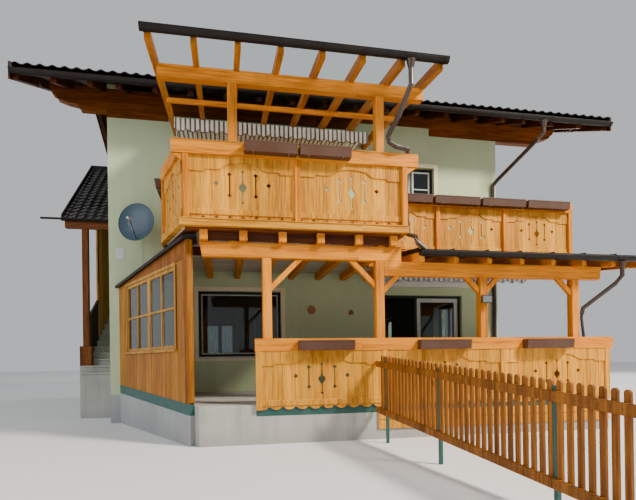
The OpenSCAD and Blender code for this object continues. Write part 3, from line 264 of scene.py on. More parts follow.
@dataclass(frozen=True)
class Render:
    """Scraped mineral render or painted masonry."""

    name: str  # Name of the material
    tone: Tone  # Colour of the paint
    grit: float = 0.003  # Size of the grains' relief in metres
    stain: float = 0.1  # Strength of the large, soft stains
    foot: float = 0.0  # Height up to which splashes darken the foot

    def material(self) -> bpy.types.Material:
        """Builds the material."""
        recipe = Recipe(self.name)
        spot = recipe.where()
        clouds = recipe.noise(spot, 0.55, 4.0, 0.6)
        runs = recipe.noise(recipe.where((5.0, 5.0, 0.35)), 1.0, 3.0, 0.6)
        grains = recipe.noise(spot, 90.0, 3.0, 0.7)
        pits = recipe.cells(spot, 75.0)
        darker = tuple(part * (1.0 - 2.2 * self.stain) for part in self.tone)
        paler = tuple(min(1.0, part * (1.0 + self.stain)) for part in self.tone)
        mixed = recipe.sum("ADD", recipe.sum("MULTIPLY", clouds, 0.65), recipe.sum("MULTIPLY", runs, 0.35))
        colour = recipe.ramp(mixed, [(0.3, darker), (0.5, self.tone), (0.7, paler)])
        colour = recipe.blend(recipe.curve(grains, 0.35, 0.65, 0.12, 0.0), colour, darker)
        if self.foot > 0.0:
            height = recipe.sum("ADD", recipe.axis(spot, 2), recipe.sum("MULTIPLY", clouds, 0.3))
            splash = recipe.curve(height, 0.2, self.foot, 0.5, 0.0)
            colour = recipe.blend(splash, colour, darker)
        coarse = recipe.sum("ADD", grains, recipe.sum("MULTIPLY", pits, 0.6))
        recipe.relief(coarse, self.grit, 0.7)
        return recipe.set(Base_Color=colour, Roughness=recipe.curve(grains, 0.3, 0.7, 0.82, 0.94))


@dataclass(frozen=True)
class Tile:
    """Coloured roofing tiles, each with its own tone."""

    name: str  # Name of the material
    tone: Tone  # Middle colour
    fired: Tone  # Colour of the lighter tiles
    cell: tuple[float, float, float] = (0.21, 0.302, 40.0)  # Size of a tile in plan

    def material(self) -> bpy.types.Material:
        """Builds the material."""
        recipe = Recipe(self.name)
        spot = recipe.where()
        each = recipe.chance(spot, self.cell)
        dark = tuple(0.6 * part for part in self.tone)
        colour = recipe.ramp(each, [(0.0, dark), (0.55, self.tone), (0.95, self.fired)])
        dust = recipe.noise(spot, 2.4, 5.0, 0.65)
        colour = recipe.blend(recipe.curve(dust, 0.5, 0.8, 0.0, 0.16), colour, (0.14, 0.13, 0.115))
        lichen = recipe.cells(spot, 26.0)
        patch = recipe.sum("MULTIPLY", recipe.curve(lichen, 0.1, 0.16, 1.0, 0.0),
                           recipe.curve(dust, 0.55, 0.62, 0.0, 0.5))
        colour = recipe.blend(patch, colour, (0.30, 0.31, 0.24))
        sand = recipe.noise(spot, 220.0, 2.0, 0.7)
        recipe.relief(recipe.sum("ADD", sand, recipe.sum("MULTIPLY", dust, 0.5)), 0.0015, 0.6)
        return recipe.set(Base_Color=colour, Roughness=recipe.curve(dust, 0.3, 0.7, 0.22, 0.42))


@dataclass(frozen=True)
class Coating:
    """Coated or painted metal with faint dust."""

    name: str  # Name of the material
    tone: Tone  # Colour of the coat
    gloss: float = 0.35  # Roughness of the coat
    metal: float = 0.0  # Share of bare metal in the reflection
    dust: float = 0.25  # Strength of the dust
    shine: float = 0.4  # Strength of its reflection

    def material(self) -> bpy.types.Material:
        """Builds the material."""
        recipe = Recipe(self.name)
        spot = recipe.where()
        clouds = recipe.noise(spot, 3.0, 5.0, 0.6)
        runs = recipe.noise(recipe.where((26.0, 26.0, 1.6)), 1.0, 3.0, 0.5)
        film = recipe.sum("MULTIPLY", recipe.curve(clouds, 0.4, 0.75, 0.0, self.dust),
                          recipe.curve(runs, 0.3, 0.7, 0.5, 1.0))
        grey = tuple(0.5 * part + 0.12 for part in self.tone)
        colour = recipe.blend(film, self.tone, grey)
        recipe.relief(recipe.noise(spot, 140.0, 2.0, 0.6), 0.0004, 0.5)
        rough = recipe.curve(clouds, 0.3, 0.7, self.gloss - 0.05, self.gloss + 0.15)
        return recipe.set(Base_Color=colour, Roughness=rough, Metallic=self.metal,
                          Specular_IOR_Level=self.shine)


@dataclass(frozen=True)
class Glass:
    """Float glass."""

    name: str  # Name of the material
    tint: Tone = (0.38, 0.44, 0.43)  # Colour of light that passes
    rough: float = 0.015  # Roughness
    index: float = 1.46  # Refractive index

    def material(self) -> bpy.types.Material:
        """Builds the material."""
        recipe = Recipe(self.name)
        spot = recipe.where()
        film = recipe.noise(recipe.where((3.0, 3.0, 1.2)), 1.0, 5.0, 0.6)
        recipe.relief(recipe.noise(spot, 1.6, 1.0, 0.4), 0.0012, 0.5)
        rough = recipe.curve(film, 0.45, 0.8, self.rough, 4.0 * self.rough)
        return recipe.set(Base_Color=self.tint, Roughness=rough, Transmission_Weight=1.0, IOR=self.index)


@dataclass(frozen=True)
class Striped:
    """Woven awning cloth with stripes across its width."""

    name: str  # Name of the material
    pale: Tone  # Colour of the ground
    strong: Tone  # Colour of the stripes
    pitch: float = 0.16  # Distance from stripe to stripe
    share: float = 0.4  # Share of the strong stripe, from 0 to 1

    def material(self) -> bpy.types.Material:
        """Builds the material."""
        recipe = Recipe(self.name)
        spot = recipe.where()
        step = recipe.sum("FRACT", recipe.sum("DIVIDE", recipe.axis(spot, 0), self.pitch))
        band = recipe.sum("LESS_THAN", step, self.share)
        colour = recipe.blend(band, self.pale, self.strong)
        fade = recipe.noise(spot, 3.0, 4.0, 0.6)
        colour = recipe.blend(recipe.curve(fade, 0.4, 0.75, 0.0, 0.3), colour, (0.62, 0.58, 0.5))
        warp, weft = (recipe.node("TexWave", {"Vector": spot, "Scale": 240.0}, bands_direction=way).outputs[1]
                      for way in "XZ")
        recipe.relief(recipe.sum("ADD", warp, weft), 0.0005, 0.5)
        return recipe.set(Base_Color=colour, Roughness=0.85, Sheen_Weight=0.2)


@dataclass(frozen=True)
class Net:
    """Woven net with a denser pattern along its lower edge."""

    name: str  # Name of the material
    tone: Tone = (0.62, 0.64, 0.60)  # Colour of the yarn
    cover: float = 0.30  # Share of the area that the yarn covers
    foot: tuple[float, float] = (1.45, 1.95)  # Heights between which the pattern fades out

    def material(self) -> bpy.types.Material:
        """Builds the material."""
        recipe = Recipe(self.name)
        spot = recipe.where()
        fine = recipe.noise(spot, 150.0, 2.0, 0.5)
        motifs = recipe.cells(recipe.where((13.0, 3.0, 13.0)), 1.0)
        pattern = recipe.sum("MULTIPLY", recipe.curve(motifs, 0.22, 0.36, 1.0, 0.25),
                             recipe.curve(recipe.axis(spot, 2), *self.foot, 0.38, 0.0))
        plain = recipe.curve(fine, 0.35, 0.65, self.cover - 0.12, self.cover + 0.12)
        return recipe.set(Base_Color=self.tone, Roughness=0.9, Alpha=recipe.sum("ADD", plain, pattern))


@dataclass(frozen=True)
class Clay:
    """Fired clay, or soil when it is rough and dark."""

    name: str  # Name of the material
    tone: Tone  # Middle colour
    lumps: float = 0.002  # Height of the relief
    size: float = 60.0  # Frequency of the relief

    def material(self) -> bpy.types.Material:
        """Builds the material."""
        recipe = Recipe(self.name)
        spot = recipe.where()
        grain = recipe.noise(spot, self.size, 5.0, 0.65)
        dark = tuple(0.5 * part for part in self.tone)
        pale = tuple(min(1.0, 1.35 * part) for part in self.tone)
        colour = recipe.ramp(grain, [(0.32, dark), (0.5, self.tone), (0.68, pale)])
        recipe.relief(grain, self.lumps, 1.0)
        return recipe.set(Base_Color=colour, Roughness=0.9)


@dataclass(frozen=True)
class Backdrop:
    """Plain pale floor."""

    name: str = "pale_floor"  # Name of the material
    tone: Tone = (0.74, 0.74, 0.73)  # Colour

    def material(self) -> bpy.types.Material:
        """Builds the material."""
        return Recipe(self.name).set(Base_Color=self.tone, Roughness=0.9)


GRAINS = {"x": Grain.ALONG, "y": Grain.INWARD, "z": Grain.UPRIGHT}

# Key, material, axes, light and dark tone and board width of each family of timbers
WOODS = (
    ("honey", "honey_spruce", "xyz", (0.84, 0.300, 0.012), (0.62, 0.185, 0.005), 0.5),
    # The honey tone darkened as painted shade, for the canopy's rafters
    ("shaded_honey", "shaded_honey_spruce", "y", (0.58, 0.205, 0.008), (0.40, 0.125, 0.004), 0.5),
    # Reddish-brown timber, darkened further as painted shade for the soffits, rafters, barge boards and the
    # blocking between joists
    ("shaded_red", "shaded_red_spruce", "xy", (0.10, 0.022, 0.002), (0.05, 0.010, 0.001), 0.32),
    ("rust", "rust_spruce", "xz", (0.22, 0.060, 0.005), (0.11, 0.027, 0.002), 0.3),
    ("chestnut", "chestnut_trim", "z", (0.33, 0.105, 0.006), (0.19, 0.054, 0.003), 0.3),
    # Timber brightened as painted light, for the shaded inner face of the stair's tall boards
    ("painted_light", "painted_light_boards", "z", (0.58, 0.28, 0.07), (0.40, 0.175, 0.035), 0.16),
)
LARCH = ((0.78, 0.360, 0.030), (0.56, 0.210, 0.012))

FINISHES = {
    "stucco": Render("sage_render", (0.47, 0.55, 0.34), 0.004, 0.06, 0.0),
    "plinth": Render("grey_plinth", (0.34, 0.35, 0.34), 0.003, 0.12, 0.75),
    "stone": Render("painted_light_stone", (0.42, 0.41, 0.37), 0.004, 0.16, 0.4),
    "inner_floor": Timber("floor_boards", (0.42, 0.28, 0.15), (0.26, 0.15, 0.07), Grain.INWARD, 0.14),
    "cream": Render("cream_band", (0.74, 0.66, 0.46), 0.0015, 0.08),
    "frame": Coating("dark_frame_paint", (0.008, 0.014, 0.013), 0.4, 0.0, 0.06, 0.25),
    "glass": Glass("window_glass"),
    "canopy_glass": Glass("canopy_glass", (0.90, 0.94, 0.93), 0.0, 1.02),
    "door": Timber("door_boards", (0.13, 0.055, 0.022), (0.06, 0.022, 0.009), Grain.UPRIGHT, 0.14),
    "leaf": Coating("off_white_leaf", (0.50, 0.53, 0.50), 0.4, 0.0, 0.15, 0.3),
    "lamp_glass": Coating("lamp_glass", (0.13, 0.14, 0.14), 0.12, 0.0, 0.1),
    "screw": Coating("dark_screw", (0.045, 0.026, 0.016), 0.4, 0.3, 0.1),
    "tile": Tile("roof_tile", (0.016, 0.014, 0.016), (0.032, 0.027, 0.028)),
    "metal": Coating("brown_sheet", (0.009, 0.006, 0.005), 0.42, 0.0, 0.06, 0.2),
    "pipe": Coating("brown_pipe", (0.055, 0.034, 0.025), 0.28, 0.3, 0.15),
    "larch_x": Timber("pale_larch_x", *LARCH, Grain.ALONG, 0.2),
    "larch_z": Timber("pale_larch_z", *LARCH, Grain.UPRIGHT, 0.2, 0.45, 0.8),
    "ceiling": Timber("white_ceiling", (0.66, 0.63, 0.55), (0.58, 0.54, 0.45), Grain.ALONG, 0.12, 0.6, 0.3),
    "green": Coating("green_paint", (0.012, 0.075, 0.062), 0.34, 0.0, 0.3),
    "casement": Timber("casement_pine", (0.58, 0.30, 0.06), (0.40, 0.18, 0.03), Grain.UPRIGHT, 0.3),
    "dark_wood": Timber("dark_boards", (0.030, 0.013, 0.008), (0.014, 0.006, 0.004), Grain.UPRIGHT, 0.16),
    "slate": Coating("slate_coat", (0.030, 0.064, 0.095), 0.3, 0.0, 0.1),
    "white_metal": Coating("white_coat", (0.68, 0.67, 0.62), 0.35, 0.0, 0.3),
    "brown_binding": Clay("brown_binding", (0.13, 0.06, 0.03), 0.0004, 400.0),
    "blue_binding": Clay("blue_binding", (0.16, 0.20, 0.27), 0.0004, 400.0),
    "upper_cloth": Striped("cream_brown_cloth", (0.78, 0.75, 0.64), (0.050, 0.030, 0.018), 0.09, 0.40),
    "lower_cloth": Striped("white_blue_cloth", (0.76, 0.78, 0.78), (0.16, 0.23, 0.31), 0.11, 0.4),
    "trough": Coating("brown_trough", (0.075, 0.026, 0.010), 0.5, 0.0, 0.2),
    "soil": Clay("potting_soil", (0.035, 0.022, 0.014), 0.012, 38.0),
    "terracotta": Clay("terracotta", (0.36, 0.13, 0.06), 0.002, 55.0),
    "steel": Coating("zinc_steel", (0.42, 0.42, 0.41), 0.32, 0.85, 0.3),
    "plate": Coating("plain_plate", (0.55, 0.56, 0.54), 0.3, 0.0, 0.1),
    "screen_z": Timber("screen_boards", (0.46, 0.172, 0.004), (0.30, 0.096, 0.002), Grain.UPRIGHT, 0.14, 0.4),
    "fence_z": Timber("fence_pine", (0.33, 0.115, 0.014), (0.19, 0.058, 0.006), Grain.UPRIGHT, 0.13, 0.5),
    "lamp_body": Coating("black_housing", (0.02, 0.02, 0.02), 0.35, 0.0, 0.2),
    "net": Net("window_net"),
    "floor": Backdrop(),
}
FINISHES.update({f"{key}_{axis}": Timber(f"{name}_{axis}", light, dark, GRAINS[axis], board)
                 for key, name, axes, light, dark, board in WOODS for axis in axes})


class Workshop:
    """Holds the finishes that are already mixed."""

    mixed: dict[str, bpy.types.Material] = {}

    @classmethod
    def finish(cls, key: str) -> bpy.types.Material:
        """Gives a finish, mixed once.

        Args:
            key: Key in FINISHES.

        Returns:
            The material.
        """
        if key not in cls.mixed:
            cls.mixed[key] = FINISHES[key].material()
        return cls.mixed[key]

    @classmethod
    def dress(cls, key: str, *nodes: str) -> None:
        """Gives solids a finish.

        Args:
            key: Key in FINISHES.
            *nodes: Names of the solids' nodes.
        """
        for name in nodes:
            for slot in frame["nodes"][name].material_slots:
                slot.material = cls.finish(key)
            LOG.info("dressed %s in %s", name, key)


# Geometry


@dataclass(frozen=True)
class Site:
    """The house's footprint, whose front left corner is the origin of all places."""

    width: float = 8.88  # Length of the front wall
    depth: float = 9.60  # Length of the gable walls
    wall: float = 0.36  # Depth of the walls

    def at(self, x: float, y: float, z: float) -> Vector:
        """Turns a place measured from the front left corner into the frame."""
        return Vector((x - self.width / 2, y - self.depth / 2, z))


SITE = Site()


def stand(place: Vector, turn: float) -> Matrix:
    """Gives the placement at a place, turned about the upright axis by an angle in degrees."""
    return Matrix.Translation(place) @ Matrix.Rotation(math.radians(turn), 4, "Z")


class Bench:
    """Gathers the parts of one piece in a single mesh."""

    def __init__(self) -> None:
        """Starts with nothing on the bench."""
        self.mesh = bmesh.new()

    def block(self, low: Sequence[float], high: Sequence[float], ease: float = 0.0,
              turn: Optional[Matrix] = None) -> None:
        """Adds a box with eased edges.

        Args:
            low: Lowest corner.
            high: Highest corner.
            ease: Width of the eased edges.
            turn: Placement of the box.
        """
        made = bmesh.ops.create_cube(self.mesh, size=1.0)["verts"]
        size = Vector(high) - Vector(low)
        middle = (Vector(high) + Vector(low)) / 2
        for vert in made:
            vert.co = Vector(part * length for part, length in zip(vert.co, size)) + middle
        self.finish(made, ease, turn)

    def box(self, low: Sequence[float], high: Sequence[float], ease: float = 0.0) -> None:
        """Adds a box between two places measured from the front left corner."""
        self.block(SITE.at(*low), SITE.at(*high), ease)

    def finish(self, made: list[bmesh.types.BMVert], ease: float, turn: Optional[Matrix]) -> None:
        """Eases the edges of new parts and puts them in their place.

        Args:
            made: Corners of the new parts.
            ease: Width of the eased edges.
            turn: Placement of the parts.
        """
        if ease > 0.0:
            edges = list({edge for vert in made for edge in vert.link_edges})
            eased = bmesh.ops.bevel(self.mesh, geom=edges, offset=ease, segments=1, affect="EDGES")
            made = list({vert for face in eased["faces"] for vert in face.verts})
        if turn is not None:
            bmesh.ops.transform(self.mesh, matrix=turn, verts=made)

    def ring(self, low: Sequence[float], high: Sequence[float], width: float, ease: float,
             turn: Optional[Matrix] = None) -> None:
        """Adds four bars around an opening.

        Args:
            low: Lowest corner, with the outer face.
            high: Highest corner, with the inner face.
            width: Width of a bar.
            ease: Width of the eased edges.
            turn: Placement of the bars.
        """
        (left, near, foot), (right, far, top) = low, high
        for a, b in (((left, foot), (left + width, top)), ((right - width, foot), (right, top)),
                     ((left + width, foot), (right - width, foot + width)),
                     ((left + width, top - width), (right - width, top))):
            self.block((a[0], near, a[1]), (b[0], far, b[1]), ease, turn)

    def close(self, rings: Sequence[Sequence[bmesh.types.BMVert]], loop: bool = False) -> None:
        """Joins rings of corners by faces and closes the first and the last ring.

        Args:
            rings: Rings of equally many corners, or of a single one.
            loop: Joins the last ring to the first, with no ends.
        """
        steps = max(len(ring) for ring in rings)
        faces = []
        for near, far in zip(rings, list(rings[1:]) + list(rings[:1] if loop else [])):
            for k in range(steps):
                n = (k + 1) % steps
                corners = [near[k % len(near)], near[n % len(near)], far[n % len(far)], far[k % len(far)]]
                corners = list(dict.fromkeys(corners))
                if len(corners) > 2:
                    faces.append(self.mesh.faces.new(corners))
        for ring in () if loop else (rings[0], rings[-1]):
            if len(ring) > 2:
                faces.append(self.mesh.faces.new(ring))
        bmesh.ops.recalc_face_normals(self.mesh, faces=faces)

    def circle(self, middle: Vector, turn: Quaternion, radius: float, height: float,
               sides: int) -> list[bmesh.types.BMVert]:
        """Adds the corners of a ring that lies across a turned axis.

        Args:
            middle: Foot of the axis.
            turn: Turn of the axis from upright.
            radius: Radius of the ring.
            height: Height of the ring above the foot.
            sides: Number of corners.

        Returns:
            The corners.
        """
        angles = (math.tau * k / sides for k in range(sides))
        return [self.mesh.verts.new(middle + turn
                                    @ Vector((radius * math.cos(a), radius * math.sin(a), height)))
                for a in angles]

    def prism(self, outline: Sequence[Sequence[float]], reach: Sequence[float], turn: Optional[Matrix] = None,
              ease: float = 0.0) -> None:
        """Adds a prism.

        Args:
            outline: Corners of the base in order.
            reach: Way from the base to the top.
            turn: Placement of the prism.
            ease: Width of the eased edges.
        """
        low = [self.mesh.verts.new(point) for point in outline]
        high = [self.mesh.verts.new(Vector(point) + Vector(reach)) for point in outline]
        count = len(outline)
        faces = [self.mesh.faces.new(low), self.mesh.faces.new(high)]
        for i in range(count):
            j = (i + 1) % count
            faces.append(self.mesh.faces.new((low[i], low[j], high[j], high[i])))
        bmesh.ops.recalc_face_normals(self.mesh, faces=faces)
        self.finish(low + high, ease, turn)

    def tube(self, path: Sequence[Vector], radius: float, sides: int = 10, closed: bool = False) -> None:
        """Adds a round bar along a path.

        Args:
            path: Points of its middle line.
            radius: Radius of the bar.
            sides: Sides of its section.
            closed: Joins the last point to the first.
        """
        count = len(path)
        rings = []
        for i, point in enumerate(path):
            before = path[i - 1] if (i > 0 or closed) else point
            after = path[(i + 1) % count] if (i < count - 1 or closed) else point
            heading = (after - before).normalized()
            turn = heading.to_track_quat("Z", "Y")
            rings.append(self.circle(point, turn, radius, 0.0, sides))
        self.close(rings, closed)

    def turned(self, profile: Sequence[tuple[float, float]], foot: Vector, axis: Vector,
               steps: int = 20) -> None:
        """Adds a turned part.

        Args:
            profile: Radius and height of each ring, from the foot up.
            foot: Place of the foot.
            axis: Direction of the turning axis.
            steps: Sides of the turning.
        """
        turn = axis.normalized().to_track_quat("Z", "Y")
        rings = []
        for radius, height in profile:
            rings.append(self.circle(foot, turn, radius, height, steps if radius > 0.0 else 1))
        self.close(rings)

    def grid(self, rows: Sequence[Sequence[Vector]]) -> None:
        """Adds a surface through rows of points.

        Args:
            rows: Rows of equally many points.
        """
        verts = [[self.mesh.verts.new(point) for point in row] for row in rows]
        for near, far in zip(verts, verts[1:]):
            for i in range(len(near) - 1):
                self.mesh.faces.new((near[i], near[i + 1], far[i + 1], far[i]))

    def piece(self, name: str, finish: str, slot: str, replaces: Iterable[str] = (), smooth: float = 0.0,
              body: Body = Body.HOUSE) -> bpy.types.Object:
        """Turns the bench's parts into a piece of the house.

        Args:
            name: Name of the piece.
            finish: Key in FINISHES.
            slot: Slot of the record; not used.
            replaces: Solids that it stands for.
            smooth: Angle in degrees up to which faces are shaded as one.
            body: Body that it moves with.

        Returns:
            The object.
        """
        mesh = bpy.data.meshes.new(name)
        self.mesh.to_mesh(mesh)
        self.mesh.free()
        if smooth > 0.0:
            mesh.shade_smooth()
            mesh.set_sharp_from_angle(angle=math.radians(smooth))
        made = bpy.data.objects.new(name, mesh)
        bpy.context.scene.collection.objects.link(made)
        made.data.materials.append(Workshop.finish(finish))
        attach(made, body.value)
        if replaces:
            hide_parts(*replaces)
        LOG.info("made %s with %d faces", name, len(mesh.polygons))
        return made


# Roof


@dataclass(frozen=True)
class Slope:
    """A tiled slope: where it starts and which way it climbs."""

    origin: Vector  # Lower corner on the underside of the boarding
    along: Vector  # Direction of the eave
    up: Vector  # Direction from the eave to the top
    out: Vector  # Direction out of the slope
    width: float  # Length of the eave
    length: float  # Distance from the eave to the top

    def at(self, u: float, v: float, n: float) -> Vector:
        """Gives the point at u along the eave, v up the slope and n out of it."""
        return self.origin + self.along * u + self.up * v + self.out * n


@dataclass
class TiledRoof:
    """Boarding, battens and courses of pantiles on one slope."""

    name: str  # Start of the pieces' names
    slope: Slope  # Where the slope lies
    column: float = 0.21  # Width of a tile
    course: float = 0.33  # Length of a tile that shows
    lap: float = 0.03  # Length of a tile under the next one
    hump: float = 0.032  # Height of a tile's wave
    lift: float = 0.022  # Height of a tile's lower edge above the battens
    bed: float = 0.044  # Height of the battens' top above the boarding's underside
    waves: int = 8  # Points across one tile
    board: float = 0.145  # Width of a board
    board_t: float = 0.022  # Thickness of a board
    gap: float = 0.002  # Half of the gap between two boards
    batten: float = 0.03  # Width of a batten
    edge: float = 0.045  # Width of a verge tile's turned-down edge

    def courses(self) -> list[tuple[float, float]]:
        """Lists the lower and the upper end of each course of tiles."""
        lows = [row * self.course for row in range(math.ceil(self.slope.length / self.course))]
        return [(low, min(low + self.course + self.lap, self.slope.length)) for low in lows]

    def wave(self, u: float) -> float:
        """Gives the height of the tiles' wave at u along the eave."""
        share = (u / self.column) % 1.0
        return self.hump * (0.5 - 0.5 * math.cos(math.tau * share)) ** 1.4

    def tiles(self, replaces: Sequence[str]) -> None:
        """Builds the courses of tiles.

        Args:
            replaces: Solids that the tiles stand for.
        """
        bench = Bench()
        slope = self.slope
        columns = round(slope.width / self.column)
        steps = columns * self.waves
        places = [slope.width * i / steps for i in range(steps + 1)]
        waves = [self.wave(i / self.waves * self.column) for i in range(steps + 1)]
        foot = self.bed + self.lift
        for low, high in self.courses():
            edge = [slope.at(u, low, foot - 0.6 * self.lift + h) for u, h in zip(places, waves)]
            lip = [slope.at(u, low, foot + h) for u, h in zip(places, waves)]
            back = [slope.at(u, high, self.bed + h) for u, h in zip(places, waves)]
            bench.grid([edge, lip, back])
        bench.piece(self.name + "_tiles", "tile", "roof_tile", replaces, 40.0)

    def boarding(self, finish: str) -> None:
        """Builds the boards under the tiles, with the battens.

        Args:
            finish: Key of the boards' finish.
        """
        bench = Bench()
        slope = self.slope
        turn = Matrix((slope.along, slope.up, slope.out)).transposed().to_4x4()
        turn.translation = slope.origin
        count = round(slope.length / self.board)
        width = slope.length / count
        for i in range(count):
            near = i * width + self.gap
            far = (i + 1) * width - self.gap
            bench.block((0.0, near, 0.0), (slope.width, far, self.board_t), 0.004, turn)
        for i in range(round(slope.length / self.course)):
            at = i * self.course + self.course - self.batten
            if at < slope.length - 0.05:
                bench.block((0.0, at, self.board_t), (slope.width, at + self.batten, self.bed), 0.0, turn)
        bench.piece(self.name + "_boarding", finish, "timber_red")

    def verge(self) -> None:
        """Builds the tiles' turned-down edges along both verges."""
        bench = Bench()
        slope = self.slope
        for low, high in self.courses():
            for start, end in ((0.0, self.edge), (slope.width - self.edge, slope.width)):
                corners = [slope.at(u, low, n)
                           for u, n in ((start, 0.03), (end, 0.03), (end, 0.094), (start, 0.094))]
                bench.prism(corners, slope.up * (high - low) - slope.out * 0.016)
        bench.piece(self.name + "_verge", "tile", "roof_tile")


@dataclass
class MainRoof:
    """The two slopes of the main roof with their ridge."""

    pitch: float = 23.8  # Pitch in degrees
    ridge_r: float = 0.13  # Radius of a ridge tile
    ridge_tile: float = 0.38  # Length of a ridge tile
    # Left end, right end, top and height of each board in front of the purlin
    boards_at: tuple[tuple[float, ...], ...] = (
        (0.0, 1.23, 6.52, 0.13), (1.231, 5.3, 6.755, 0.235), (5.301, 7.154, 6.755, 0.06))

    def slope(self, node: str, front: bool) -> Slope:
        """Reads a slope's place off its solid.

        Args:
            node: Name of the solid.
            front: Whether it faces the front.

        Returns:
            The slope.
        """
        low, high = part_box(node)
        angle = math.radians(self.pitch)
        run = high[1] - low[1]
        sign = 1.0 if front else -1.0
        origin = low if front else Vector((high[0], high[1], low[2]))
        along = Vector((sign, 0.0, 0.0))
        up = Vector((0.0, sign * math.cos(angle), math.sin(angle)))
        out = Vector((0.0, -sign * math.sin(angle), math.cos(angle)))
        return Slope(origin, along, up, out, high[0] - low[0], run / math.cos(angle))

    def ridge(self) -> None:
        """Builds the overlapping ridge tiles."""
        bench = Bench()
        low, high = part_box("ridge_cap")
        middle = (low[1] + high[1]) / 2
        crown = high[2] - self.ridge_r
        count = round((high[0] - low[0]) / self.ridge_tile)
        step = (high[0] - low[0]) / count
        arc = [math.pi * k / 14 for k in range(15)]
        for i in range(count):
            start = low[0] + i * step
            end = min(start + step + 0.04, high[0])
            rings = ((start, -0.018), (start, 0.0), (start + 0.03, 0.0), (start + 0.03, -0.006),
                     (end, -0.016))
            rows = []
            for x, more in rings:
                radius = self.ridge_r + more
                rows.append([Vector((x, middle + radius * 1.12 * math.cos(a),
                                     crown - 0.02 + (radius + 0.02) * math.sin(a))) for a in arc])
            bench.grid(rows)
        bench.piece("ridge_tiles", "tile", "roof_tile", ["ridge_cap"], 50.0)

    def boards(self) -> None:
        """Builds the boards along the front wall's top, below its purlin."""
        bench = Bench()
        for left, right, top, hang in self.boards_at:
            bench.box((left, -0.026, top - hang), (right, -0.0006, top + 0.02), ease=0.003)
        bench.piece("purlin_boards", "rust_x", "timber_red")

    def build(self) -> None:
        """Builds both slopes and the ridge."""
        for name, front in (("front", True), ("back", False)):
            node = f"roof_{name}_slope"
            roof = TiledRoof(name, self.slope(node, front), bed=0.084)
            roof.tiles([node])
            # The boarding's underside is the soffit, and its darkened tone is painted shade
            roof.boarding("shaded_red_x")
            roof.verge()
        self.ridge()
        self.boards()


@dataclass(frozen=True)
class Awning:
    """A striped awning: a cloth from its cassette to its bar and a scalloped valance."""

    name: str  # Name of the cloth
    finish: str  # Key of the cloth's finish
    left: float  # Left end
    right: float  # Right end
    reach: float  # Distance of the bar from the wall
    bar: float  # Height of the bar
    drop: float  # Length of the valance
    binding: str  # Key of the finish of the valance's bound edge
    cassette: float = 0.13  # Depth of the cassette
    scallop: float = 0.22  # Width of a scallop
    rise: float = 0.072  # Rise of the cloth from the bar to the cassette
    sag: float = 0.012  # Sag of the cloth between them

    def cloth(self) -> bpy.types.Object:
        """Builds the cloth and its valance as one sheet."""
        bench = Bench()
        width = self.right - self.left
        scallops = round(width / self.scallop)
        across = scallops * 8
        top = self.bar + 0.035
        rows = []
        for k in range(9):
            share = k / 8
            y = -self.cassette - (self.reach - self.cassette) * share
            z = top + self.rise * (1.0 - share) - self.sag * math.sin(math.pi * share)
            rows.append([SITE.at(self.left + width * i / across, y, z) for i in range(across + 1)])
        for share in (0.02, 0.35, 0.7, 0.92, 1.0):
            row = []
            for i in range(across + 1):
                wave = abs(math.sin(math.pi * i / 8))
                drop = self.drop - 0.06 + 0.055 * wave
                sway = 0.008 * math.sin(1.7 * i) * share
                x = self.left + width * i / across
                row.append(SITE.at(x, -self.reach - 0.008 - sway, top - drop * share))
            rows.append(row)
        bench.grid(rows)
        made = bench.piece(self.name, self.finish, "awning_cloth", smooth=60.0)
        made.data.materials.append(Workshop.finish(self.binding))
        for polygon in list(made.data.polygons)[-across:]:
            polygon.material_index = 1
        return made


@dataclass
class Awnings:
    """The upper awning over the bay, and the lower one over the terrace door."""

    upper: Awning = Awning("upper_cloth", "upper_cloth", 1.46, 5.29, 1.20, 5.878, 0.27, "brown_binding")
    lower: Awning = Awning("lower_cloth", "lower_cloth", 5.69, 8.64, 1.50, 2.93, 0.15, "blue_binding")

    def build(self) -> None:
        """Builds both cloths."""
        first = self.upper.cloth()
        self.lower.cloth()
        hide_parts("awning_cloths")


# Timberwork


@dataclass(frozen=True)
class Leg:
    """A straight stretch of a balustrade, seen from outside."""

    start: tuple[float, float]  # Left end of its line, measured from the front left corner
    end: tuple[float, float]  # Right end of its line
    low: float  # Height of the boards' feet
    high: float  # Height of the boards' tops

    @property
    def length(self) -> float:
        """Length of the stretch."""
        return math.dist(self.start, self.end)

    def place(self) -> Matrix:
        """Gives the placement whose X runs along the stretch and whose -Y points outwards."""
        angle = math.atan2(self.end[1] - self.start[1], self.end[0] - self.start[0])
        return stand(SITE.at(*self.start, self.low), math.degrees(angle))


class Cut(Enum):
    """Cut-outs on the seam between two boards."""

    NONE = "none"
    LILY = "lily"
    SLOT = "slot"
    DIAMOND = "diamond"


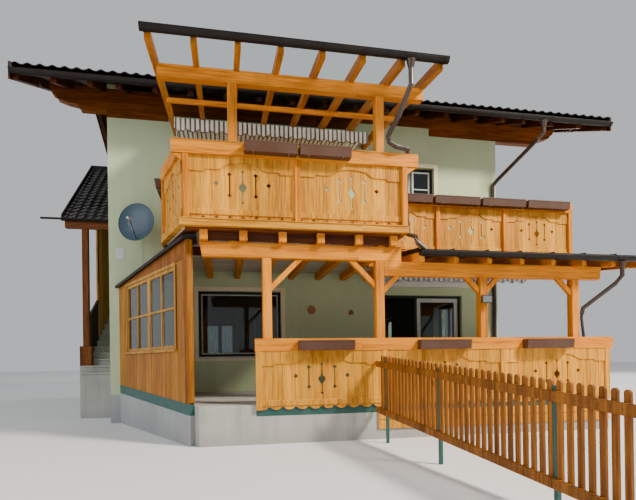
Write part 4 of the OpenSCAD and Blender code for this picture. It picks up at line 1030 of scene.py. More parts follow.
@dataclass(frozen=True)
class Fretwork:
    """Boards with round feet that are cut on their seams, an apron and a foot rail."""

    board: float = 0.2  # Width of a board, about
    thick: float = 0.03  # Thickness of a board
    gap: float = 0.0016  # Half of the gap between two boards
    foot: float = 0.045  # Height of a round foot
    apron: float = 0.017  # Thickness of the apron and the foot rail
    rail: tuple[float, float] = (0.055, 0.15)  # Lower and upper edge of the foot rail above the feet
    # Left half of the apron's lower edge, as shares of length and height
    edge: tuple[tuple[float, float], ...] = (
        (0.0, 0.75), (0.145, 0.75), (0.145, 0.785), (0.27, 0.785), (0.3, 0.805),
        (0.33, 0.84), (0.36, 0.875), (0.4, 0.89), (0.45, 0.9), (0.5, 0.903))

    def notch(self, cut: Cut, height: float) -> list[tuple[float, float]]:
        """Gives half of a cut-out as depths and heights along a seam, from below.

        Args:
            cut: Kind of the cut-out.
            height: Height of the boards.

        Returns:
            Depth into the board and height of each corner.
        """
        if cut is Cut.LILY:
            middle = 0.52 * height
            low = middle - 0.25 * height
            high = middle + 0.25 * height
            petals = [(0.024, -0.062), (0.044, -0.038), (0.058, -0.004), (0.050, 0.022), (0.022, 0.040),
                      (0.013, 0.070)]
            return ([(0.0, low - 0.025), (0.025, low), (0.007, low + 0.018), (0.007, middle - 0.084)]
                    + [(depth, middle + up) for depth, up in petals]
                    + [(0.007, middle + 0.092), (0.007, high - 0.018), (0.025, high), (0.0, high + 0.025)])
        if cut is Cut.SLOT:
            low = (0.55 - 0.17) * height
            high = (0.55 + 0.17) * height
            return [(0.0, low - 0.033), (0.033, low), (0.008, low + 0.025), (0.008, high - 0.025),
                    (0.033, high), (0.0, high + 0.033)]
        if cut is Cut.DIAMOND:
            middle = 0.57 * height
            return [(0.0, middle - 0.037), (0.037, middle), (0.0, middle + 0.037)]
        return []

    def cut_at(self, seam: int, count: int) -> Cut:
        """Tells which cut-out a seam has.

        Args:
            seam: Number of the seam from the left.
            count: Number of boards.

        Returns:
            The kind of the cut-out.
        """
        off = abs(seam - count // 2)
        if seam in (0, count) or off > 2:
            return Cut.NONE
        return (Cut.LILY, Cut.SLOT, Cut.DIAMOND)[off]

    def build_on(self, bench: Bench, leg: Leg) -> None:
        """Adds the boards, the apron and the foot rail of one stretch.

        Args:
            bench: Bench that gathers them.
            leg: The stretch.
        """
        length = leg.length
        height = leg.high - leg.low
        count = 2 * max(1, round(length / self.board / 2))
        width = length / count
        place = leg.place()
        out = Vector((0.0, -self.thick, 0.0))
        radius = 0.32 * width + self.foot
        sweep = math.acos(0.32 * width / radius)
        for i in range(count):
            start = i * width + self.gap
            end = (i + 1) * width - self.gap
            middle = (start + end) / 2
            arc = [(middle + radius * math.sin(sweep * k / 5), radius - radius * math.cos(sweep * k / 5))
                   for k in range(-5, 6)]
            right = [(end - depth, up) for depth, up in self.notch(self.cut_at(i + 1, count), height)]
            left = [(start + depth, up) for depth, up in self.notch(self.cut_at(i, count), height)]
            outline = ([(start, self.foot)] + arc + [(end, self.foot)] + right
                       + [(end, height), (start, height)] + left[::-1])
            bench.prism([(u, 0.0, up) for u, up in outline], out, place)
        self.front_of(bench, length, height, place)

    def front_of(self, bench: Bench, length: float, height: float, place: Matrix) -> None:
        """Adds the apron and the foot rail on the boards' outer face.

        Args:
            bench: Bench that gathers them.
            length: Length of the stretch.
            height: Height of the boards.
            place: Placement of the stretch.
        """
        left = [(share * length, up * height) for share, up in self.edge]
        right = [((1.0 - share) * length, up * height) for share, up in self.edge[-2::-1]]
        outline = [(0.0, height)] + left + right + [(length, height)]
        out = Vector((0.0, -self.apron, 0.0))
        bench.prism([(u, -self.thick, up) for u, up in outline], out, place)
        low, high = self.rail
        face = -self.thick - self.apron
        corners = [(-self.thick, low), (face + 0.006, low), (face, low + 0.008), (face, high - 0.014),
                   (face + 0.012, high), (-self.thick, high)]
        bench.prism([(0.0, y, z) for y, z in corners], (length, 0.0, 0.0), place)


@dataclass
class Balustrades:
    """Balustrades of the bay, the right balcony and the terrace."""

    low: float = 3.36  # Height of the balconies' board feet
    high: float = 4.28  # Height of the underside of their rail
    terrace_low: float = 0.52  # Height of the terrace's board feet
    terrace_high: float = 1.41  # Height of the underside of the terrace's rail
    terrace_line: float = -3.40  # Distance of the terrace's boards from the front wall
    work: Fretwork = Fretwork()  # How the boards are made

    def panels(self, legs: Sequence[Leg]) -> Bench:
        """Builds the boards of several stretches.

        Args:
            legs: The stretches.

        Returns:
            The bench with the boards.
        """
        bench = Bench()
        for leg in legs:
            self.work.build_on(bench, leg)
        return bench

    def balcony_leg(self, start: tuple[float, float], end: tuple[float, float]) -> Leg:
        """Gives a stretch at the balconies' height."""
        return Leg(start, end, self.low, self.high)

    def build(self) -> None:
        """Builds the three balustrades."""
        leg = self.balcony_leg
        slant = Vector((0.37, -1.13)).normalized()
        near = Vector((1.43, -2.34)) + 0.035 * slant
        far = Vector((1.80, -3.47)) - 0.045 * slant
        bay = [leg((1.865, -3.47), (3.41, -3.47)), leg((3.50, -3.47), (5.11, -3.47)),
               leg((1.43, 0.0), (1.43, -2.25)), leg((*near,), (*far,)), leg((5.11, -3.47), (5.11, -1.725))]
        self.panels(bay).piece("bay_boards", "larch_z", "timber_larch", ["bay_panels"])
        right = [leg((5.16, -1.67), (6.502, -1.67)), leg((6.592, -1.67), (7.968, -1.67)),
                 leg((8.058, -1.67), (9.48, -1.67)), leg((9.48, -1.67), (9.48, -0.02)),
                 leg((9.48, 0.0), (8.88, 0.0))]
        self.panels(right).piece("right_boards", "larch_z", "timber_larch", ["right_balcony_panels"])
        self.terrace()

    def terrace(self) -> None:
        """Builds the terrace's boards with the battens in front of their joints."""
        first = 2.79
        third = 2.04
        line = self.terrace_line
        spans = [((first + i * third + 0.004, line), (first + (i + 1) * third - 0.004, line))
                 for i in range(3)]
        spans.append(((8.91, line), (8.91, -0.01)))
        legs = [Leg(start, end, self.terrace_low, self.terrace_high) for start, end in spans]
        bench = self.panels(legs)
        for x in (2.84, 4.83, 6.87, 8.86):
            bench.box((x - 0.045, -3.458, self.terrace_low), (x + 0.045, -3.43, self.terrace_high), 0.005)
        for i in range(2):
            low = 0.165 + 0.145 * i
            bench.box((4.71, -3.43, low), (8.91, -3.40, low + 0.137), 0.006)
        bench.piece("terrace_boards", "larch_z", "timber_larch", ["terrace_panels"])
        strip = Bench()
        strip.box((2.80, -3.406, self.terrace_low - 0.09), (8.90, -3.3995, self.terrace_low + 0.03), 0.002)
        strip.piece("terrace_base_strip", "green", "paint_green")


@dataclass
class Frame:
    """Squared timbers of the porch, the balconies and the canopy, with eased edges."""

    post: float = 0.14  # Width of a post
    out: float = 3.30  # Distance of the posts' middle from the front wall
    ease: float = 0.009  # Width of the eased edges
    joist_low: float = 3.06  # Height of the joists' underside
    joist_top: float = 3.22  # Height of the joists' top
    left_low: float = 2.83  # Height of the left beam's underside
    right_low: float = 2.60  # Height of the right beam's underside
    bays: tuple[float, ...] = (1.49, 2.06, 2.64, 3.23, 3.82, 4.43, 5.00)  # Middles of the bay's joists
    right_bays: tuple[float, float] = (5.56, 8.56)  # First and last joist of the right balcony
    joist: float = 0.12  # Width of a joist
    newel: tuple[float, float] = (3.35, 4.28)  # Lower and upper end of the square posts
    newel_wide: float = 0.09  # Width of a square post
    bay_newels: tuple[float, ...] = (1.82, 3.455, 5.155)  # Middles of the square posts at the bay's front
    right_newels: tuple[float, ...] = (6.547, 8.013, 9.525)  # The same at the right balcony
    canopy_top: float = 5.46  # Upper end of the canopy's posts
    # Lower and upper corner of the drip moulding and the rail's cap, with their ease
    mouldings: tuple[tuple, ...] = (((1.76, -3.585, 3.335), (5.19, -3.565, 3.352), 0.004),
                                    ((1.625, -3.57, 4.468), (5.375, -3.47, 4.484), 0.005))

    def posts(self) -> None:
        """Builds the porch's posts and those that carry the canopy."""
        half = self.post / 2
        bench = Bench()
        for x, top in ((2.99, self.left_low), (4.79, self.left_low), (6.59, self.right_low),
                       (8.32, self.right_low)):
            bench.box((x - half, -self.out - half, 0.6), (x + half, -self.out + half, top), self.ease)
            bench.box((x - half - 0.004, -self.out - half - 0.004, 0.6),
                      (x + half + 0.004, -self.out + half + 0.004, 0.66), 0.003)
        bench.piece("porch_post_timbers", "honey_z", "timber_honey", ["porch_posts"])
        bench = Bench()
        for x in (2.5, 4.82):
            bench.box((x - half, -self.out - half, self.joist_low),
                      (x + half, -self.out + half, self.canopy_top), self.ease)
        bench.piece("canopy_post_timbers", "honey_z", "timber_honey", ["canopy_posts"])

    def beams(self) -> None:
        """Builds the two beams on the porch's posts."""
        half = self.post / 2
        reach = Vector((0.0, -self.post, 0.0))
        back = -self.out + half
        left = [(1.99, self.joist_low), (2.03, self.left_low), (5.15, self.left_low), (5.15, self.joist_low)]
        right = [(4.86, self.right_low), (8.81, self.right_low), (8.84, self.left_low), (4.86, self.left_low)]
        for name, outline in (("left", left), ("right", right)):
            bench = Bench()
            bench.prism([SITE.at(x, back, z) for x, z in outline], reach, ease=self.ease)
            node = f"porch_beam_{name}"
            bench.piece(node + "_timber", "honey_x", "timber_honey", [node])

    def braces(self) -> None:
        """Builds the knee braces between the posts and the beams."""
        bench = Bench()
        half = self.post / 2
        thick = 0.08 * math.sqrt(2.0)
        back = -3.26
        for x, z, leg, side in ((2.99 + half, self.left_low, 0.50, 1), (4.79 - half, self.left_low, 0.44, -1),
                                (4.79 + half, self.right_low, 0.29, 1),
                                (6.59 - half, self.right_low, 0.27, -1),
                                (6.59 + half, self.right_low, 0.26, 1),
                                (8.32 - half, self.right_low, 0.28, -1)):
            outline = [(0.0, -leg), (side * leg, 0.0), (side * (leg - thick), 0.0), (0.0, thick - leg)]
            bench.prism([SITE.at(x + u, back, z + up) for u, up in outline], (0.0, -0.08, 0.0), ease=0.006)
        bench.piece("brace_timbers", "honey_z", "timber_honey", ["knee_braces"])

    def joists(self) -> None:
        """Builds the balconies' joists, the blocking between them and the bay's lining."""
        bench = Bench()
        half = self.joist / 2
        for x in self.bays:
            tip = -2.34 if x < 1.8 else -3.47
            bench.box((x - half, tip, self.joist_low), (x + half, 0.0, self.joist_top), self.ease)
        first, last = self.right_bays
        for i in range(6):
            x = first + i * (last - first) / 5
            bench.box((x - half, -1.60, self.joist_low), (x + half, 0.0, self.joist_top), self.ease)
        bench.box((5.11, -1.70, self.joist_low), (9.48, -1.599, self.joist_top), self.ease)
        bench.piece("joist_timbers", "honey_y", "timber_honey", ["balcony_joists"])
        blocks = Bench()
        for left, right in zip(self.bays, self.bays[1:]):
            y = -2.30 if left < 1.8 else -3.39
            near = left + half + 0.002
            far = right - half - 0.002
            blocks.box((near, y, self.joist_low + 0.012), (far, y + 0.04, self.joist_top), self.ease)
        # The blocking takes the darkened tone as painted shade in the gaps between the joists
        blocks.piece("joist_blocking", "shaded_red_x", "timber_red")
        lining = Bench()
        margin = [(1.44, -0.02), (1.44, -2.34), (1.808, -3.46), (5.10, -3.46), (5.10, -3.39), (2.0, -3.39),
                  (1.63, -2.34), (1.63, -0.02)]
        lining.prism([SITE.at(x, y, self.joist_top - 0.014) for x, y in margin], (0.0, 0.0, 0.0135))
        lining.box((1.795, -3.475, self.joist_top - 0.012), (5.114, -3.4695, self.joist_top + 0.028))
        lining.piece("bay_lining", "rust_x", "timber_red")

    def newels(self) -> None:
        """Builds the square posts of the balustrades."""
        bench = Bench()
        low, top = self.newel
        wide = self.newel_wide
        places = [(x - wide / 2, -3.56) for x in self.bay_newels]
        places += [(x - wide / 2, -1.76) for x in self.right_newels]
        for x, y in places + [(1.34, -2.34)]:
            bench.box((x, y, low), (x + wide, y + wide, top), self.ease)
        bench.piece("newel_timbers", "honey_z", "timber_honey", ["balcony_newels"])

    def ledge(self) -> None:
        """Builds a drip moulding under the bay's ledge and a cap on its rail."""
        bench = Bench()
        for low, high, ease in self.mouldings:
            bench.box(low, high, ease)
        bench.piece("bay_mouldings", "larch_x", "timber_larch")
        bench = Bench()
        for x, side in ((1.774, -1), (5.201, 1)):
            outline = [(x, 4.279), (x + side * 0.13, 4.279), (x + side * 0.13, 4.262), (x, 4.165)]
            bench.prism([SITE.at(u, -3.50, z) for u, z in outline], (0.0, -0.045, 0.0), ease=0.004)
        bench.piece("rail_brackets", "honey_z", "timber_honey")

    def build(self) -> None:
        """Builds all timbers."""
        self.posts()
        self.beams()
        self.braces()
        self.joists()
        self.newels()
        self.ledge()


@dataclass
class Boarding:
    """Upright boards on the entrance screen and beside the stair."""

    board: float = 0.14  # Width of a board
    thick: float = 0.024  # Thickness of a board
    origin: tuple[float, float] = (0.19, 0.0)  # Where the screen meets the front wall
    end: tuple[float, float] = (1.81, -3.30)  # Front corner of the screen
    deep: float = 0.09  # Depth of the screen
    hole: tuple[float, float] = (0.56, 3.16)  # Ends of the window opening along the screen
    sill: float = 1.47  # Height of the opening's lower edge
    head: float = 2.78  # Height of the opening's upper edge
    # Height of the screen's roof at the house's left corner, and its rise to the right
    roof: tuple[float, float] = (2.80, 0.1673)
    strip: float = 0.17  # Height of the plinth's painted strip
    before: float = 0.2  # How far the plinth starts before the screen
    plinth_top: tuple[float, float] = (0.81, 0.63)  # Heights of the plinth's top at its two ends
    corner: float = 0.11  # Width of the corner post
    casing: float = 0.05  # Width of a window trim
    # Where the stair's boarding starts, reaches the roof and ends
    stair: tuple[float, float, float] = (1.89, 2.93, 6.77)
    # Where the flight ends, and the height of the boarding's foot there
    landing: tuple[float, float] = (5.67, 3.35)
    side: tuple[float, float] = (1.20, 2.31)  # Heights of that boarding's foot and top at its start
    lift: float = 0.5926  # Rise of its top per metre, up to the bend
    eave: float = 6.334  # Height of its top past the bend
    stair_board: float = 0.16  # Width of its boards

    @property
    def length(self) -> float:
        """Length of the screen."""
        return math.dist(self.origin, self.end)

    def screen_place(self) -> Matrix:
        """Gives the placement whose X runs along the screen and whose -Y points outwards."""
        return Leg(self.origin, self.end, 0.0, self.head).place()

    def foot(self, u: float) -> float:
        """Gives the height of the plinth's top at u along the screen."""
        high, low = self.plinth_top
        return high + (low - high) * (u + self.before) / (self.length + self.before)

    def top(self, u: float) -> float:
        """Gives the height of the screen's top at u along its outer face."""
        x = self.origin[0] + u * (self.end[0] - self.origin[0]) / self.length
        return self.roof[0] + self.roof[1] * x - 0.001

    def upright(self, bench: Bench, span: tuple[float, float], low: float, depth: tuple[float, float],
                ease: float) -> None:
        """Adds a board that ends under the screen's sloping roof.

        Args:
            bench: Bench that gathers the boards.
            span: Left and right edge along the screen.
            low: Height of its foot.
            depth: Outer and inner face.
            ease: Width of the eased edges.
        """
        left, right = span
        corners = [(left, low), (right, low), (right, self.top(right)), (left, self.top(left))]
        outline = [Vector((u, depth[0], z)) for u, z in corners]
        bench.prism(outline, (0.0, depth[1] - depth[0], 0.0), self.screen_place(), ease)

    def screen(self) -> None:
        """Builds the screen's boards on both faces, with the frame between them."""
        bench = Bench()
        place = self.screen_place()
        count = round(self.length / self.board)
        width = self.length / count
        outer = (0.0, self.thick)
        inner = (self.deep - 0.02, self.deep)
        for i in range(count):
            span = (i * width + 0.001, (i + 1) * width - 0.001)
            foot = self.foot(sum(span) / 2)
            faces = [outer] if span[0] < 0.05 else [outer, inner]
            for depth in faces:
                if self.hole[0] < span[1] and span[0] < self.hole[1]:
                    bench.block((span[0], depth[0], foot), (span[1], depth[1], self.sill), 0.004, place)
                    self.upright(bench, span, self.head, depth, 0.004)
                else:
                    self.upright(bench, span, foot, depth, 0.004)
        core = (self.thick, self.deep - 0.02)
        for span, low in (((0.04, self.hole[0]), 0.82), ((self.hole[1], self.length), 0.65),
                          (self.hole, self.head)):
            self.upright(bench, span, low, core, 0.0)
        bench.block((self.hole[0], core[0], 0.8), (self.hole[1], core[1], self.sill), 0.0, place)
        bench.piece("screen_boards", "screen_z", "timber_larch", ["screen_wall"])
        self.trim()
        self.plinth()

    def trim(self) -> None:
        """Builds the screen's corner post, fascia, window trims and sill."""
        bench = Bench()
        post = self.length - self.corner
        face = (-0.012, 0.0)
        wide = self.casing
        self.upright(bench, (post, self.length), 0.635, face, 0.004)
        self.upright(bench, (0.03, post), self.head + wide, face, 0.003)
        bench.piece("screen_trim", "chestnut_z", "timber_red")
        bench = Bench()
        left, right = self.hole
        for low, high in (((left - wide, -0.014, self.sill - wide), (left, 0.0, self.head + wide)),
                          ((right, -0.014, self.sill - wide), (right + wide, 0.0, self.head + wide)),
                          ((left, -0.014, self.head), (right, 0.0, self.head + wide)),
                          ((left - 0.06, -0.045, self.sill - 0.04), (right + 0.06, 0.0, self.sill))):
            bench.block(low, high, 0.003, self.screen_place())
        bench.piece("screen_window_trim", "casement", "casement_light")

    def plinth(self) -> None:
        """Builds the concrete plinth with its painted strip and their seam."""
        start = -self.before
        end = self.length
        tops = (self.foot(start), self.foot(end))
        seam = tuple(top - self.strip for top in tops)
        for name, finish, slot, face, low, high in (
                ("plinth_concrete", "plinth", "concrete", 0.004, (0.0, 0.0), seam),
                ("plinth_strip", "green", "paint_green", 0.0, seam, tops)):
            bench = Bench()
            corners = [(start, low[0]), (end, low[1]), (end, high[1]), (start, high[0])]
            bench.prism([(u, face, z) for u, z in corners], (0.0, self.deep - face, 0.0),
                        self.screen_place(), 0.002)
            bench.piece(name, finish, slot, ["screen_plinth"])

    def beside_stair(self) -> None:
        """Builds the boards beside the stair, closed up to its roof past the bend, with a handrail."""
        start, bend, end = self.stair
        landing, floor = self.landing
        low, high = self.side
        eave = self.eave
        rise = (floor - low) / (landing - start)
        tall = Bench()
        bench = Bench()
        for near_end, far_end in ((start, bend), (bend, end)):
            closed = near_end == bend
            boards = tall if closed else bench
            count = round((far_end - near_end) / self.stair_board)
            width = (far_end - near_end) / count
            for i in range(count):
                near = near_end + i * width + 0.0015
                far = near_end + (i + 1) * width - 0.0015
                foot = [min(low + rise * (y - start), floor) for y in (near, far)]
                head = [eave if closed else high + self.lift * (y - start) - 0.04 for y in (near, far)]
                corners = [(near, foot[0]), (far, foot[1]), (far, head[1]), (near, head[0])]
                boards.prism([SITE.at(-0.954, y, z) for y, z in corners], (0.04, 0.0, 0.0), ease=0.004)
        # The tall boards' tone is brightened as painted light on their shaded inner face
        tall.piece("stair_tall_boards", "painted_light_z", "timber_dark", ["stair_side"])
        knee = high + self.lift * (bend - start)
        rail = [(start, high - 0.05), (bend, knee - 0.05), (bend, knee), (start, high)]
        bench.prism([SITE.at(-0.96, y, z) for y, z in rail], (0.06, 0.0, 0.0), ease=0.006)
        for y in (bend + 0.02, end - 0.07):
            bench.box((-0.914, y, floor), (-0.900, y + 0.05, eave), 0.0)
        for i in range(6):
            x = -0.96 + self.stair_board * i
            bench.box((x, end + 0.005, floor), (x + 0.157, end + 0.045, eave), 0.004)
        bench.box((-0.96, end, eave - 0.05), (0.0, end + 0.06, eave), 0.006)
        bench.piece("stair_boards", "dark_wood", "timber_dark", ["stair_side"])
        bench = Bench()
        bench.box((-0.99, start - 0.14, 1.67), (-0.85, start, 5.38), 0.01)
        for i in range(4):
            z = 1.20 + 0.1175 * i
            bench.box((-1.05, start - 0.2, z), (-0.79, start, z + 0.1165), 0.004)
        bench.piece("stair_post", "rust_z", "timber_red")

    def build(self) -> None:
        """Builds both boardings."""
        self.screen()
        self.beside_stair()


@dataclass
class StairRoof:
    """Boarded and tiled roof over the stair."""

    pitch: float = 39.0  # Pitch of its sloping part in degrees
    left: float = -1.04  # Outer edge
    right: float = 0.0  # Edge at the gable
    gutter: float = 0.036  # Radius of its gutter
    spout: float = -1.43  # Where the gutter's spout ends
    foot: float = 0.42  # Distance of the eave from the front wall
    bend: float = 2.93  # Distance at which the roof turns level
    thick: float = 0.11  # Thickness of its edges, square to the slope

    def build(self) -> None:
        """Builds the boards, the courses of tiles and the edge boards."""
        low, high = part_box("stair_roof")
        angle = math.radians(self.pitch)
        run = self.bend - self.foot
        knee = low[2] + run * math.tan(angle)
        slope = Slope(low, Vector((1.0, 0.0, 0.0)), Vector((0.0, math.cos(angle), math.sin(angle))),
                      Vector((0.0, -math.sin(angle), math.cos(angle))), high[0] - low[0],
                      run / math.cos(angle))
        courses = TiledRoof("stair_slope", slope, column=0.173, course=0.19, hump=0.024, bed=0.046)
        courses.tiles(["stair_roof"])
        courses.boarding("dark_wood")
        self.flat(self.bend, high[1] + SITE.depth / 2, knee, high[2])
        bench = Bench()
        edges = [(x, 0.024, self.foot, self.thick / math.cos(angle)) for x in (self.left, self.right - 0.026)]
        rafters = [(x, 0.07, self.foot + 0.06, 0.05)
                   for x in (self.left + 0.12, self.left + 0.55, self.right - 0.18)]
        for x, width, start, up in edges + rafters:
            corners = [(start, low[2]), (self.bend, knee), (self.bend, knee + up), (start, low[2] + up)]
            bench.prism([SITE.at(x, y, z) for y, z in corners], (width, 0.0, 0.0))
        bench.piece("stair_roof_edges", "dark_wood", "timber_dark")
        self.eave(low[2])

    def eave(self, height: float) -> None:
        """Builds the beam under the eave, and its gutter with a spout past the roof's end.

        Args:
            height: Height of the eave's underside.
        """
        bench = Bench()
        foot = self.foot
        near = foot + 0.03
        far = near + 0.12
        slope = math.tan(math.radians(self.pitch))
        outline = [(near, height - 0.13), (far, height - 0.13), (far, height + (far - foot) * slope),
                   (near, height + (near - foot) * slope)]
        bench.prism([SITE.at(self.left + 0.06, y, z) for y, z in outline], (-self.left - 0.06, 0.0, 0.0),
                    ease=0.006)
        bench.piece("stair_eave_beam", "rust_x", "timber_red")
        bench = Bench()
        middle = (foot - self.gutter, height + 0.055)
        angles = [math.pi + math.pi * k / 12 for k in range(13)]
        ring = [(self.gutter, a) for a in angles] + [(self.gutter - 0.004, a) for a in reversed(angles)]
        outline = [(middle[0] + radius * math.cos(a), middle[1] + radius * math.sin(a)) for radius, a in ring]
        bench.prism([SITE.at(self.spout, y, z) for y, z in outline], (-self.spout, 0.0, 0.0))
        cap = [(middle[0] + self.gutter * math.cos(a), middle[1] + self.gutter * math.sin(a)) for a in angles]
        bench.prism([SITE.at(-0.004, y, z) for y, z in cap], (0.004, 0.0, 0.0))
        for x in (-0.98, -0.52, -0.08):
            bench.box((x - 0.012, foot - 2 * self.gutter - 0.002, middle[1] - 0.001),
                      (x + 0.012, foot + 0.01, middle[1] + 0.003))
        bench.piece("stair_gutter", "metal", "metal_brown")

    def flat(self, start: float, end: float, low: float, high: float) -> None:
        """Builds the level part with its sheet seams.

        Args:
            start: Where it starts.
            end: Where it ends.
            low: Height of its underside.
            high: Height of its top.
        """
        bench = Bench()
        count = 7
        width = (end - start) / count
        for i in range(count):
            bench.box((self.left, start + i * width + 0.001, low),
                      (self.right, start + (i + 1) * width - 0.001, low + 0.025), 0.003)
        bench.piece("stair_roof_boards", "dark_wood", "timber_dark")
        bench = Bench()
        bench.box((self.left, start, low + 0.025), (self.right, end, high - 0.025), 0.004)
        for i in range(count + 1):
            y = min(start + i * width, end - 0.012)
            bench.box((self.left, y, high - 0.025), (self.right, y + 0.012, high), 0.0)
        bench.piece("stair_roof_sheet", "metal", "roof_tile")


@dataclass
class Fence:
    """Pickets behind two rails, which run in front of steel posts."""

    start: tuple[float, float] = (4.70, -3.454)  # Place of the first post
    angle: float = -85.6  # Direction of the fence in degrees
    bay: float = 1.89  # Distance between posts
    bays: int = 3  # Number of bays
    pickets: int = 18  # Number of pickets in a bay
    top: float = 1.33  # Height of the pickets at the first post
    fall: float = 0.065  # Fall of the tops per metre
    height: float = 0.90  # Length of a picket
    width: float = 0.055  # Width of a picket
    thick: float = 0.022  # Thickness of a picket
    rails: tuple[float, float] = (0.895, 0.180)  # Depths of the rails' undersides below the pickets' tops
    rail: tuple[float, float] = (0.09, 0.04)  # Height and thickness of a rail

    def place(self) -> Matrix:
        """Gives the placement whose X runs along the fence."""
        return stand(SITE.at(*self.start, 0.0), self.angle)

    def build(self) -> None:
        """Builds the pickets, the rails and their screws."""
        wood = Bench()
        screws = Bench()
        place = self.place()
        out = place.to_3x3() @ Vector((0.0, -1.0, 0.0))
        pitch = self.bay / self.pickets
        high, deep = self.rail
        for bay in range(self.bays):
            start = bay * self.bay + (0.002 if bay > 0 else 0.0)
            end = (bay + 1) * self.bay + (0.02 if bay == self.bays - 1 else -0.002)
            for drop in self.rails:
                foot = [self.top - drop - x * self.fall for x in (start, end)]
                corners = [(start, foot[0]), (end, foot[1]), (end, foot[1] + high), (start, foot[0] + high)]
                wood.prism([(x, 0.0, z) for x, z in corners], (0.0, -deep, 0.0), place, 0.006)
            for i in range(0 if bay > 0 else 1, self.pickets):
                x = bay * self.bay + (i + 0.5) * pitch
                self.picket(wood, x)
                for drop in self.rails:
                    spot = place @ Vector((x, 0.0005 - deep, self.top - drop + high / 2 - x * self.fall))
                    screws.turned([(0.006, 0.0), (0.0055, 0.0015), (0.0, 0.0022)], spot, out, 8)
        wood.piece("fence_timber", "fence_z", "timber_larch", ["fence_panels"])
        screws.piece("fence_screws", "screw", "paint_green")

    def picket(self, bench: Bench, x: float) -> None:
        """Adds a picket with a round head.

        Args:
            bench: Bench that gathers the pickets.
            x: Place of its middle along the fence.
        """
        top = self.top - x * self.fall
        radius = self.width / 2
        arc = [(x + radius * math.cos(math.pi * k / 10), top - radius + radius * math.sin(math.pi * k / 10))
               for k in range(11)]
        outline = [(x - radius, top - self.height), (x + radius, top - self.height)] + arc
        front = self.thick - 0.001
        bench.prism([(u, front, up) for u, up in outline], (0.0, -self.thick, 0.0), self.place())


# Openings


@dataclass(frozen=True)
class Window:
    """A window's opening, seen from outside."""

    side: int  # Side of the house: 0 front, 1 right, 2 back, 3 left
    left: float  # Distance of its left edge from the side's left end
    sill: float  # Height of its lower edge
    head: float  # Height of its upper edge
    width: float  # Width
    lights: int = 2  # Number of sashes

    def place(self) -> Matrix:
        """Gives the placement whose X runs along the wall and whose Y points inwards."""
        corners = ((0.0, 0.0), (SITE.width, 0.0), (SITE.width, SITE.depth), (0.0, SITE.depth))
        return stand(SITE.at(*corners[self.side], 0.0), 90.0 * self.side)


